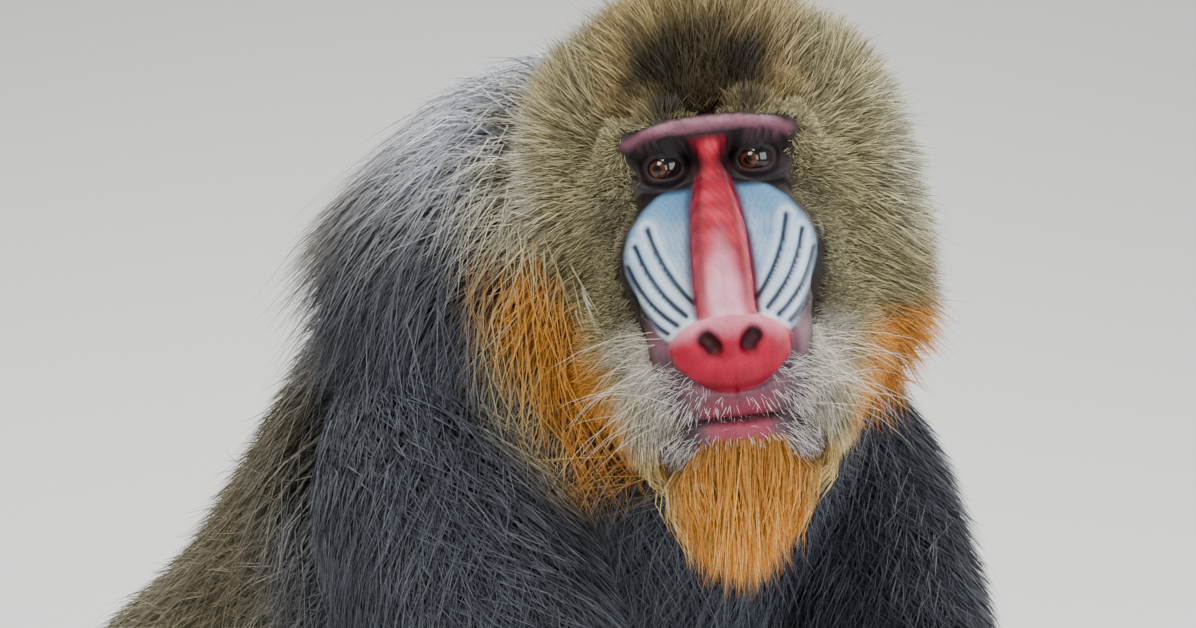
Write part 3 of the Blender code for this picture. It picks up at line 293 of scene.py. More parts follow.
def make_mesh(name, points, corners, sizes, smooth=True):
    """A mesh object from whole arrays: points, the faces' corners in a row, and each face's size."""
    mesh = bpy.data.meshes.new(name)
    mesh.vertices.add(len(points))
    mesh.vertices.foreach_set("co", np.ascontiguousarray(points, np.float32).ravel())
    mesh.loops.add(len(corners))
    mesh.loops.foreach_set("vertex_index", np.ascontiguousarray(corners, np.int32))
    mesh.polygons.add(len(sizes))
    mesh.polygons.foreach_set("loop_start", np.concatenate([[0], np.cumsum(sizes)[:-1]]).astype(np.int32))
    mesh.polygons.foreach_set("use_smooth", np.full(len(sizes), smooth))
    mesh.update(calc_edges=True)
    obj = bpy.data.objects.new(name, mesh)
    bpy.context.scene.collection.objects.link(obj)
    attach(obj, "root")
    return obj


def tube_mesh(name, rings, ends):
    """A closed tube through rings of points, with its two end points."""
    corners, sizes = tube_faces(*rings.shape[:2])
    return make_mesh(name, np.vstack([rings.reshape(-1, 3), ends]), corners, sizes)


def paint(obj, name, colours):
    """Stores a colour for each point of a mesh."""
    layer = obj.data.color_attributes.new(name=name, type="FLOAT_COLOR", domain="POINT")
    rgba = np.column_stack([colours, np.ones(len(colours))]).astype(np.float32)
    layer.data.foreach_set("color", rgba.ravel())


def hue(red, green, blue):
    """A colour as seen on a screen, 0 to 255, turned into light."""
    value = np.array([red, green, blue]) / 255
    return np.where(value > 0.04045, ((value + 0.055) / 1.055) ** 2.4, value / 12.92)


def blend(low, high, share):
    """Mixes two colours, or rows of colours, by a share for each point."""
    return low + (high - low) * np.asarray(share)[:, None]


def waver(points, scale, seed):
    """Smooth, slowly changing values about 0, from a few crossed waves in random directions."""
    random = np.random.default_rng(seed)
    total = np.zeros(len(points))
    for _ in range(7):
        way = random.standard_normal(3)
        total += np.sin(points @ way * (2.2 / scale) + random.uniform(0, 2 * math.pi))
    return total / 3.7


# Half width of the bare face at each height, from the chin up to the brow
FACE_EDGE = np.array([[-0.150, 0.012], [-0.137, 0.024], [-0.120, 0.0300], [-0.105, 0.0335], [-0.092, 0.0375],
                      [-0.080, 0.0410], [-0.070, 0.0435], [-0.060, 0.0465], [-0.050, 0.0495],
                      [-0.040, 0.0485], [-0.030, 0.0440], [-0.020, 0.0375], [-0.013, 0.0365],
                      [-0.005, 0.0385], [0.008, 0.0405], [0.014, 0.0430], [0.0190, 0.0400],
                      [0.0225, 0.0200], [0.0240, 0.0050], [0.0250, -0.0200]])
SWELLING_EDGE = np.array([[-0.086, 0.028], [-0.080, 0.034], [-0.070, 0.039], [-0.060, 0.0440],
                          [-0.050, 0.0475], [-0.040, 0.0475], [-0.030, 0.0435], [-0.020, 0.0360],
                          [-0.013, 0.0270], [-0.010, 0.0180]])
BROW_LINE = np.array([[0.0, 0.0200], [0.014, 0.0204], [0.028, 0.0186], [0.041, 0.0135]])


def face_gap(p):
    """How far a point of the head lies outside the bare face: below 0 on the face, above 0 under the coat."""
    x, y, z = np.abs(p[:, 0]), p[:, 1], p[:, 2]
    beside = x - np.interp(z, FACE_EDGE[:, 0], FACE_EDGE[:, 1])
    return np.maximum.reduce([beside, y - 0.030, -0.1375 - z])


def groove_gap(p):
    """Distance to the nearest groove of the swellings, in the front view."""
    flat = np.column_stack([np.abs(p[:, 0]), p[:, 2]])
    return np.min([to_line(flat, groove_line(*groove)) for groove in GROOVES], axis=0)


# Half width of the nose pad at each height
PAD_HALF = np.array([[-0.1115, 0.000], [-0.1105, 0.008], [-0.107, 0.015], [-0.102, 0.0215], [-0.096, 0.0275],
                     [-0.090, 0.0300], [-0.084, 0.0290], [-0.079, 0.0240], [-0.075, 0.0160], [-0.073, 0.000]])


def pad_gap(p):
    """How far inside the nose pad's outline a point lies, seen from the front; below 0 outside."""
    return np.interp(p[:, 2], PAD_HALF[:, 0], PAD_HALF[:, 1]) - np.abs(p[:, 0])


def face_colours(p):
    """The painted face: dark sockets, mauve brow, crimson bridge, pale blue ridged swellings, red nose pad,
    purple lips and grey muzzle sides, with painted highlights on brow, bridge and pad, and painted shade in
    the bridge's furrows and the nostrils."""
    x, y, z = np.abs(p[:, 0]), p[:, 1], p[:, 2]
    mottle = waver(p, 0.004, 1)
    coarse = waver(p, 0.014, 2)
    colour = np.tile(hue(22, 16, 17), (len(p), 1))
    # muzzle sides, lilac grey, darker and spotted towards the corners of the mouth
    muzzle = fade(-z, 0.070, 0.084) * fade(-y, 0.030, 0.050)
    colour = blend(colour, hue(120, 84, 96), muzzle * (0.85 + 0.1 * mottle))
    corner = fade(-z, 0.090, 0.108) * fade(x, 0.020, 0.030)
    colour = blend(colour, hue(54, 47, 56), corner * np.clip(0.75 + 0.35 * mottle, 0, 1))
    # brow bar
    flat = np.column_stack([x, z])
    thinner = 0.0010 * mottle + 0.0006 * coarse + 0.04 * np.maximum(x - 0.020, 0)
    brow = 1 - fade(to_line(flat, BROW_LINE) + thinner, 0.0018, 0.0054)
    colour = blend(colour, hue(130, 74, 94), brow * (0.84 + 0.16 * coarse))
    # the top of the brow bar is painted paler: a painted highlight
    pale = fade(z - 0.0192 + 0.08 * x + 0.0010 * coarse, 0.0, 0.004)
    colour = blend(colour, hue(184, 138, 150), (0.55 + 0.25 * mottle) * brow * pale)
    # swellings
    edge = np.interp(z, SWELLING_EDGE[:, 0], SWELLING_EDGE[:, 1])
    border = np.interp(z, BRIDGE_BORDER[:, 0], BRIDGE_BORDER[:, 1])
    swelling = fade(edge - x, -0.0012, 0.0018) * fade(-z, 0.0105, 0.0145) * fade(z, -0.0865, -0.0820)
    swelling *= fade(0.030 - y, 0.0, 0.010)
    blue = blend(hue(184, 212, 236), hue(112, 168, 208), np.clip(0.45 + 0.3 * coarse + 0.3 * mottle, 0, 1))
    blue = blend(blue, hue(66, 142, 188), 0.7 * fade(z, -0.036, -0.016))
    blue = blend(blue, hue(216, 224, 240), 0.5 * fade(-z, 0.050, 0.075))
    colour = blend(colour, blue, swelling)
    away = groove_gap(p)
    fine = 1 - fade(np.abs(np.sin(1150 * away + 0.8 * coarse + 1.0)), 0.0, 0.45)
    colour = blend(colour, hue(66, 100, 140), 0.34 * fine * swelling)
    ridge = dip(away - 0.0034, 0.0016) * swelling
    colour = blend(colour, hue(232, 242, 250), 0.60 * ridge)
    groove = 1 - fade(away, 0.0005, 0.0018)
    colour = blend(colour, hue(16, 26, 48), groove * swelling * 0.95)
    rim = fade(x - edge, -0.0035, 0.0) * swelling
    colour = blend(colour, hue(74, 84, 112), 0.7 * rim)
    # bridge
    bridge = fade(border - x, -0.0008, 0.0010) * fade(0.0145 - z, 0, 0.004) * fade(-y, 0.0, 0.008)
    bridge *= fade(z, -0.094, -0.088)
    red = blend(hue(158, 0, 34), hue(194, 4, 46), np.clip(0.5 + 0.5 * mottle, 0, 1))
    across = x / np.maximum(border, 0.004)
    low = fade(-z, 0.02, 0.08)
    # the bridge's middle is painted paler along its ridge: a painted highlight
    ridge = 1 - fade(across + 0.10 * mottle + 0.10 * coarse, 0.30 * low - 0.05, 0.50 + 0.42 * low)
    pale = ridge * fade(-z, 0.020, 0.062) * (1 - 0.40 * fade(-z, 0.072, 0.082))
    red = blend(red, hue(248, 176, 198), np.clip(0.85 * pale + 0.06 * mottle, 0, 1))
    # the darker lines either side of the ridge are painted shade in the bridge's furrows
    furrow = dip(across - 0.66, 0.12)
    red = blend(red, hue(96, 0, 22), 0.6 * furrow * (1 - 0.7 * fade(-z, 0.058, 0.074)))
    colour = blend(colour, red, bridge)
    line = dip(x - border, 0.0011) * fade(-z, 0.006, 0.014) * fade(z, -0.080, -0.072) * fade(-y, 0.0, 0.01)
    colour = blend(colour, hue(84, 30, 62), 0.8 * line)
    # nose pad
    pad = fade(pad_gap(p) + 0.0004 * mottle, -0.0012, 0.0012) * fade(-y, 0.062, 0.080)
    crimson = blend(hue(192, 2, 54), hue(156, 0, 42), np.clip(0.5 + 0.5 * mottle, 0, 1))
    # the pale pink across the top of the pad is a painted highlight
    roof = fade(z + 4 * x * x + 0.0008 * mottle, -0.0870, -0.0760) * (0.85 + 0.15 * coarse)
    crimson = blend(crimson, hue(252, 168, 188), 0.70 * roof)
    crimson = blend(crimson, hue(140, 8, 34), 0.7 * fade(-z, 0.097, 0.108))
    colour = blend(colour, crimson, pad)
    # the maroon ring and the near-black inside of each nostril are painted shade in the openings
    inside = to_line(np.column_stack([x, y, z]), curve(NOSTRIL, 6)) - NOSTRIL_RADIUS
    colour = blend(colour, hue(96, 0, 18), 0.6 * (1 - fade(inside, 0.0010, 0.0040)) * pad)
    colour = blend(colour, hue(7, 0, 2), 1 - fade(inside, -0.0004, 0.0014))
    # lips
    lip = dip(z - mouth_height(y) - 0.0040, 0.0080) * fade(-y, 0.070, 0.086) * fade(0.024 - x, 0, 0.012)
    colour = blend(colour, hue(148, 40, 66), 0.8 * lip)
    below = fade(-z, 0.1255, 0.1285) * fade(z, -0.140, -0.134) * fade(-y, 0.060, 0.080)
    colour = blend(colour, hue(164, 62, 82), 0.8 * below * fade(0.020 - x, 0, 0.010))
    aside = fade(x, 0.012, 0.024) * fade(-z, 0.112, 0.122) * fade(-y, 0.050, 0.070)
    colour = blend(colour, hue(70, 60, 68), 0.75 * aside)
    seam = dip(z - mouth_height(y), 0.0013) * fade(-y, 0.045, 0.075) * (1 - 0.6 * fade(x, 0.013, 0.028))
    colour = blend(colour, hue(44, 14, 24), seam)
    # sockets and the lids' rims
    gap = np.linalg.norm(np.column_stack([(x - EYE[0] - 0.001) / 0.0250, (z - 0.0005) / 0.0130]), axis=1)
    dark = (1 - fade(gap, 0.66, 1.02)) * fade(-y, -0.012, -0.004)
    colour = blend(colour, hue(26, 17, 20), 0.94 * dark)
    oval = np.linalg.norm(np.column_stack([(x - EYE[0]) / 0.0130, (z + 0.0002) / 0.0059]), axis=1)
    lid = dip(oval - 1.0, 0.14) * fade(-y, -0.010, -0.002)
    colour = blend(colour, hue(84, 52, 56), 0.5 * lid * fade(-z, -0.002, 0.003))
    bags = dip(oval - 1.55, 0.10) + dip(oval - 1.95, 0.09)
    colour = blend(colour, hue(86, 80, 96), 0.26 * bags * fade(-z, 0.001, 0.006) * fade(-y, -0.012, -0.004))
    return np.clip(colour * (1 + 0.07 * mottle[:, None]), 0, 1)


def principled(name, roughness, specular=0.5):
    """A material with its shader, and the tree's nodes and links."""
    material = bpy.data.materials.new(name)
    material.use_nodes = True
    shader = material.node_tree.nodes["Principled BSDF"]
    shader.inputs["Roughness"].default_value = roughness
    shader.inputs["Specular IOR Level"].default_value = specular
    return material, shader, material.node_tree.nodes, material.node_tree.links


def noise_node(nodes, links, scale, detail):
    """Noise read at object coordinates, so that its size is in metres."""
    place = nodes.new("ShaderNodeTexCoord")
    noise = nodes.new("ShaderNodeTexNoise")
    noise.inputs["Scale"].default_value = scale
    noise.inputs["Detail"].default_value = detail
    links.new(place.outputs["Object"], noise.inputs["Vector"])
    return noise


def varied_colour(nodes, links, attribute, noise, low, high):
    """The painted colour, made lighter and darker by noise."""
    colour = nodes.new("ShaderNodeAttribute")
    colour.attribute_name = attribute
    span = nodes.new("ShaderNodeMapRange")
    span.inputs["From Min"].default_value = 0.3
    span.inputs["From Max"].default_value = 0.7
    span.inputs["To Min"].default_value = low
    span.inputs["To Max"].default_value = high
    links.new(noise.outputs["Fac"], span.inputs["Value"])
    scaled = nodes.new("ShaderNodeVectorMath")
    scaled.operation = "SCALE"
    links.new(colour.outputs["Color"], scaled.inputs["Vector"])
    links.new(span.outputs["Result"], scaled.inputs["Scale"])
    return scaled.outputs["Vector"]


def skin_material(name, roughness, pore_scale, bump_height, coat=0.0):
    """Skin: painted colour with fine mottling, pores and wrinkles as bump, and uneven shine."""
    material, shader, nodes, links = principled(name, roughness, 0.36)
    fine = noise_node(nodes, links, pore_scale, 4.0)
    links.new(varied_colour(nodes, links, "paint", fine, 0.82, 1.16), shader.inputs["Base Color"])
    bump = nodes.new("ShaderNodeBump")
    bump.inputs["Distance"].default_value = bump_height
    bump.inputs["Strength"].default_value = 0.6
    links.new(fine.outputs["Fac"], bump.inputs["Height"])
    links.new(bump.outputs["Normal"], shader.inputs["Normal"])
    broad = noise_node(nodes, links, pore_scale / 9, 2.0)
    shine = nodes.new("ShaderNodeMapRange")
    shine.inputs["To Min"].default_value = roughness - 0.10
    shine.inputs["To Max"].default_value = roughness + 0.14
    links.new(broad.outputs["Fac"], shine.inputs["Value"])
    links.new(shine.outputs["Result"], shader.inputs["Roughness"])
    shader.inputs["Coat Weight"].default_value = coat
    shader.inputs["Coat Roughness"].default_value = 0.35
    return material


head_rings = head_points(300, 314)
head_local = np.vstack([head_rings.reshape(-1, 3), head_rings[[0, -1]].mean(1)])
head_flat = from_head(head_rings.reshape(-1, 3)).reshape(head_rings.shape)
head_skin = tube_mesh("head_skin", head_flat, head_flat[[0, -1]].mean(1))
bare = 1 - fade(face_gap(head_local), -0.0020, 0.0030)
COAT_SHADE = hue(58, 52, 44)
paint(head_skin, "paint", blend(np.tile(COAT_SHADE, (len(head_local), 1)), face_colours(head_local), bare))
head_skin.data.materials.append(skin_material("face_skin", 0.50, 1500.0, 0.0009, 0.03))
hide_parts("head", "lower_jaw")


# Eyes
# Real piece: amber-brown irises with small pupils in dark-rimmed, deep-set eyes that look to the right.
# Each is a ball whose clear front bulges, painted by the angle from where it looks; its top has painted shade.

GAZE = unit([-0.37, -1.0, -0.02])


def eye_mesh(side, word):
    """Eyeball about the way it looks: angle from that way runs along, the turn about it runs around. The
    radius grows by a small dome in front."""
    across = unit(np.cross([0.0, 0.0, 1.0], GAZE))
    up = np.cross(GAZE, across)
    polar = np.radians(np.concatenate([np.linspace(0.8, 40, 50), np.linspace(44, 179, 24)]))
    turn_about = np.linspace(0, 2 * math.pi, 72, endpoint=False)
    dome = 0.0007 * np.clip(1 - (polar / math.radians(28)) ** 2, 0, 1)
    radius = (EYE_RADIUS - 0.0002 + dome)[:, None, None]
    ring = np.cos(turn_about)[:, None] * across + np.sin(turn_about)[:, None] * up
    rings = np.cos(polar)[:, None, None] * GAZE + np.sin(polar)[:, None, None] * ring[None]
    rings = rings * radius + EYE * (side, 1, 1)
    middle = EYE * (side, 1, 1)
    ends = np.array([middle + GAZE * (EYE_RADIUS + 0.0005), middle - GAZE * EYE_RADIUS])
    obj = tube_mesh(f"eyeball_{word}", from_head(rings), from_head(ends))
    angle = np.repeat(np.degrees(polar), len(turn_about))
    about = np.tile(turn_about, len(polar))
    streak = 0.5 + 0.25 * np.sin(23 * about + side) + 0.25 * np.sin(41 * about + 3 * side)
    iris = blend(hue(54, 24, 9), hue(108, 58, 28), streak * fade(angle, 9, 17))
    iris = blend(iris, hue(16, 8, 5), fade(angle, 22, 27))
    white = blend(np.tile(hue(20, 13, 12), (len(angle), 1)), hue(38, 26, 24), fade(angle, 36, 62))
    colour = blend(iris, white, fade(angle, 28, 31))
    colour = blend(colour, hue(5, 3, 3), 1 - fade(angle, 9.5, 11.0))
    # the top of the eyeball is painted darker: painted shadow of the lids and brow
    painted_lid_shadow = fade((rings - EYE * (side, 1, 1))[..., 2].ravel() / EYE_RADIUS, 0.10, 0.42)
    colour = colour * (1 - 0.80 * painted_lid_shadow[:, None])
    paint(obj, "paint", np.vstack([colour, colour[:1] * 0 + hue(5, 3, 3), colour[-1:]]))
    obj.data.materials.append(eye_finish)
    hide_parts(f"eye_{word}")


eye_finish, eye_shader, eye_nodes, eye_links = principled("wet_eye", 0.09)
eye_colour = eye_nodes.new("ShaderNodeAttribute")
eye_colour.attribute_name = "paint"
eye_links.new(eye_colour.outputs["Color"], eye_shader.inputs["Base Color"])
eye_shader.inputs["Coat Weight"].default_value = 0.25
eye_shader.inputs["Coat Roughness"].default_value = 0.03
eye_mesh(1, "left")
eye_mesh(-1, "right")


# Ears
# Real piece: small rounded, nearly bare ears with a rolled rim, dull purple-pink inside.
# A shell drawn as rings from its root to the rim and back into its hollow, smoothed along its length.

EAR_AT = np.array([0.060, 0.064, -0.004])

def ear_rings(side):
    """An ear as rings: the back of the shell from its root to the rim, then its hollow."""
    opens = unit([0.80 * side, -0.55, 0.05])
    up = unit(np.array([0.05 * side, 0.25, 1.0]) - opens * (opens @ [0.05 * side, 0.25, 1.0]))
    across = np.cross(up, opens) * side
    root = EAR_AT * (side, 1, 1)
    rim = root + np.array([0.026 * side, 0.008, 0.004])
    angle = np.linspace(0, 2 * math.pi, 18, endpoint=False)
    # share of the way from root to rim, half height, half width, how far behind the rim's plane
    steps = np.array([(0.0, 0.45, 0.40, 0.0), (0.45, 0.62, 0.60, 0.004), (0.80, 0.90, 0.90, 0.004),
                      (1.0, 1.02, 1.02, 0.001), (1.0, 0.99, 0.99, -0.0012), (1.0, 0.84, 0.82, 0.001),
                      (1.0, 0.66, 0.62, 0.0055), (1.0, 0.34, 0.30, 0.009)])
    centre = root + steps[:, :1] * (rim - root) - steps[:, 3:] * opens
    high = (0.0250 * steps[:, 1])[:, None, None] * np.cos(angle)[None, :, None] * up
    shape = 1 + 0.10 * np.cos(angle - 0.9)
    wide = (0.0185 * steps[:, 2])[:, None, None] * (np.sin(angle) * shape)[None, :, None] * across
    return centre[:, None] + high + wide

ear_finish = skin_material("ear_skin", 0.5, 900.0, 0.0005)
for side, word in ((1, "left"), (-1, "right")):
    ear = ear_rings(side)
    rows = curve(ear.reshape(len(ear), -1), 44).reshape(44, 18, 3)
    around = curve(np.concatenate([rows, rows[:, :1]], 1).transpose(1, 0, 2).reshape(19, -1), 73)[:-1]
    rows = around.reshape(72, 44, 3).transpose(1, 0, 2)
    place = from_head(rows.reshape(-1, 3)).reshape(rows.shape)
    ear_piece = tube_mesh(f"ear_shell_{word}", place, place[[0, -1]].mean(1))
    # the hollow turns darker towards its deepest rows: painted shade
    deep = np.repeat(fade(np.linspace(0, 1, 44), 0.62, 1.0), 72)
    tone = blend(np.tile(hue(98, 68, 70), (len(deep), 1)), hue(46, 28, 32), deep)
    paint(ear_piece, "paint", np.vstack([tone, tone[[0, -1]]]))
    ear_piece.data.materials.append(ear_finish)
    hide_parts(f"ear_{word}")


# Body skin
# Real piece: thin grey skin under the coat, bare lilac, blue and red on the rump and its sitting pads.
# Tubes through the stations of trunk, tail and limbs, joined into one flowing surface.

TRUNK = (
    (0.000, 0.325, 0.036, 0.062, 0.060, 0.004),
    (0.000, 0.330, 0.074, 0.100, 0.086, 0.014),
    (0.000, 0.306, 0.122, 0.110, 0.096, 0.024),
    (0.000, 0.252, 0.166, 0.110, 0.098, 0.032),
    (0.000, 0.186, 0.204, 0.108, 0.098, 0.036),
    (0.000, 0.120, 0.248, 0.112, 0.102, 0.040),
    (0.000, 0.060, 0.304, 0.116, 0.102, 0.044),
    (0.000, 0.012, 0.368, 0.112, 0.098, 0.046),
    (0.000, -0.028, 0.432, 0.096, 0.094, 0.048),
    (0.003, -0.070, 0.482, 0.082, 0.082, 0.048),
    (0.000, -0.097, 0.513, 0.058, 0.060, 0.040),
)
UPPER_ARM = (
    (0.095, 0.006, 0.410, 0.045, 0.049, 0.031),
    (0.119, -0.026, 0.376, 0.045, 0.051, 0.030),
    (0.127, -0.078, 0.310, 0.038, 0.044, 0.026),
    (0.122, -0.135, 0.236, 0.030, 0.033, 0.018),
)
FOREARM = (
    (0.122, -0.132, 0.242, 0.031, 0.034, 0.018),
    (0.112, -0.160, 0.184, 0.031, 0.034, 0.016),
    (0.091, -0.192, 0.112, 0.024, 0.027, 0.012),
    (0.072, -0.214, 0.048, 0.018, 0.021, 0.007),
)
THIGH = (
    (0.080, 0.300, 0.090, 0.062, 0.070, 0.018),
    (0.112, 0.235, 0.118, 0.058, 0.070, 0.022),
    (0.148, 0.165, 0.165, 0.047, 0.056, 0.020),
    (0.172, 0.118, 0.200, 0.034, 0.038, 0.014),
)
SHIN = (
    (0.172, 0.112, 0.196, 0.034, 0.036, 0.014),
    (0.172, 0.088, 0.146, 0.029, 0.032, 0.012),
    (0.170, 0.060, 0.090, 0.021, 0.024, 0.009),
    (0.168, 0.036, 0.042, 0.018, 0.022, 0.006),
)
TAIL = (
    (0.000, 0.405, 0.120, 0.018, 0.018, 0.008),
    (0.000, 0.442, 0.124, 0.013, 0.013, 0.009),
    (0.000, 0.466, 0.146, 0.009, 0.009, 0.010),
    (0.000, 0.474, 0.178, 0.005, 0.005, 0.010),
)
# Hand and foot in their own frames: X away from the body, Y backward, the wrist or heel at the origin.
PALM = (
    (0.000, 0.008, 0.040, 0.018, 0.018),
    (0.000, -0.022, 0.026, 0.024, 0.016),
    (0.001, -0.056, 0.014, 0.031, 0.0125),
    (0.002, -0.084, 0.0106, 0.034, 0.0115),
)
# A digit: where it starts across and along, which way it turns, its length and its thickness
FINGERS = ((-0.024, -0.086, -9, 0.062, 0.0088), (-0.0085, -0.092, -3, 0.070, 0.0090),
           (0.0080, -0.091, 3, 0.066, 0.0088), (0.0240, -0.084, 11, 0.052, 0.0080))
THUMB = (-0.024, -0.036, -42, 0.044, 0.0092)
SOLE = (
    (0.000, 0.020, 0.017, 0.019, 0.018),
    (0.000, -0.012, 0.0235, 0.023, 0.024),
    (0.002, -0.060, 0.019, 0.028, 0.019),
    (0.004, -0.108, 0.0113, 0.034, 0.0122),
)
TOES = ((-0.021, -0.112, -6, 0.050, 0.0084), (-0.0065, -0.118, -1, 0.054, 0.0086),
        (0.0090, -0.116, 4, 0.050, 0.0084), (0.0240, -0.110, 11, 0.042, 0.0078))
GREAT_TOE = (-0.024, -0.052, -38, 0.052, 0.0098)
WRIST = np.array([0.070, -0.222, 0.0])
HAND_TURN = 4.0  # degrees outwards
HEEL = np.array([0.168, 0.040, 0.0])
FOOT_TURN = 10.0

def mirrored(stations, side):
    """Stations of the animal's left (side 1) or right (side -1)."""
    rows = np.array(stations, float)
    rows[:, 0] *= side
    return rows

def tube(stations, across, around, steps, domed=True):
    """Rings round a smooth path. A station is x, y, z, half width and half depth; the width lies along the
    given direction, and the ends are flat or domed."""
    rows = curve(stations, steps)
    path, width, depth = rows[:, :3], rows[:, 3], rows[:, 4]
    tangent = unit(np.gradient(path, axis=0))
    side = unit(np.asarray(across, float) - (tangent @ np.asarray(across, float))[:, None] * tangent)
    front = np.cross(tangent, side)
    dome = np.radians([75, 50, 25] if around > 8 else [50]) if domed else np.zeros(0)
    path = np.vstack([path[0] - np.sin(dome)[:, None] * width[0] * 0.8 * tangent[0], path,
                      path[-1] + np.sin(dome[::-1])[:, None] * width[-1] * 0.8 * tangent[-1]])
    low, high = np.cos(dome), np.cos(dome[::-1])
    width = np.concatenate([width[0] * low, width, width[-1] * high])
    depth = np.concatenate([depth[0] * low, depth, depth[-1] * high])
    count = len(dome)
    side = np.vstack([side[[0] * count], side, side[[-1] * count]])
    front = np.vstack([front[[0] * count], front, front[[-1] * count]])
    angle = np.linspace(0, 2 * math.pi, around, endpoint=False)[None, :, None]
    rings = path[:, None] + np.cos(angle) * (width[:, None] * side)[:, None]
    return rings + np.sin(angle) * (depth[:, None] * front)[:, None]

def ring_ends(rings):
    """The two points that close a tube: each a little beyond the middle of its last ring."""
    first, last = rings[0].mean(0), rings[-1].mean(0)
    return np.array([first + 0.35 * (first - rings[1].mean(0)), last + 0.35 * (last - rings[-2].mean(0))])

def merged_tubes(name, tubes, voxel, smoothing):
    """Closed tubes joined in one mesh and melted into one surface."""
    points, corners, sizes, count = [], [], [], 0
    for rings in tubes:
        found, size = tube_faces(*rings.shape[:2])
        corners.append(found + count)
        sizes.append(size)
        points.append(np.vstack([rings.reshape(-1, 3), ring_ends(rings)]))
        count += len(points[-1])
    rough = make_mesh(name + "_rough", np.vstack(points), np.concatenate(corners), np.concatenate(sizes))
    step = rough.modifiers.new("join", "REMESH")
    step.mode, step.voxel_size = "VOXEL", voxel
    step = rough.modifiers.new("soften", "SMOOTH")
    step.factor, step.iterations = 0.5, smoothing
    bpy.context.view_layer.update()
    mesh = bpy.data.meshes.new_from_object(rough.evaluated_get(bpy.context.evaluated_depsgraph_get()))
    bpy.data.objects.remove(rough)
    obj = bpy.data.objects.new(name, mesh)
    mesh.name = name
    mesh.polygons.foreach_set("use_smooth", np.ones(len(mesh.polygons), bool))
    bpy.context.scene.collection.objects.link(obj)
    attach(obj, "root")
    return obj


def mesh_points(obj):
    """The places of a mesh's points."""
    flat = np.empty(len(obj.data.vertices) * 3, np.float32)
    obj.data.vertices.foreach_get("co", flat)
    return flat.reshape(-1, 3).astype(float)


LIMBS = {"upper_arm": (UPPER_ARM, (1, 0, 0)), "forearm": (FOREARM, (1, 0, 0)), "thigh": (THIGH, (1, 1, 0)),
         "shin": (SHIN, (1, 0, 0))}


def bare_tube(stations, across, side, around, steps):
    """A tube of bare skin in the model's place."""
    across = np.array(across, float) * (side, 1, 1)
    return tube(mirrored(stations, side)[:, :5], across, around, steps) + SHIFT


body_tubes = [bare_tube(TRUNK, (1, 0, 0), 1, 64, 60), bare_tube(TAIL, (1, 0, 0), 1, 24, 24)]
for side in (1, -1):
    body_tubes += [bare_tube(stations, across, side, 40, 30) for stations, across in LIMBS.values()]
body_skin = merged_tubes("body_skin", body_tubes, 0.005, 14)
body_points = mesh_points(body_skin)
body_points[:, 2] = np.maximum(body_points[:, 2], 0.0)
body_skin.data.vertices.foreach_set("co", body_points.astype(np.float32).ravel())


def rump_share(m):
    """Where the rump is bare: round and below the tail's root."""
    centre = np.array([0.0, 0.402, 0.072]) + SHIFT
    gap = np.linalg.norm((m - centre) / (0.078, 0.075, 0.062), axis=1)
    return 1 - fade(gap, 0.80, 1.05)


# Middle lines, in the head's front view, of the orange ruff, the whitish whiskers and the forehead's patch
RUFF = np.array([[0.122, -0.040], [0.104, -0.072], [0.086, -0.108], [0.072, -0.146]])
WHISKERS = np.array([[0.048, -0.090], [0.045, -0.115], [0.036, -0.142]])
PATCH = np.array([[-0.016, 0.052], [0.016, 0.052]])


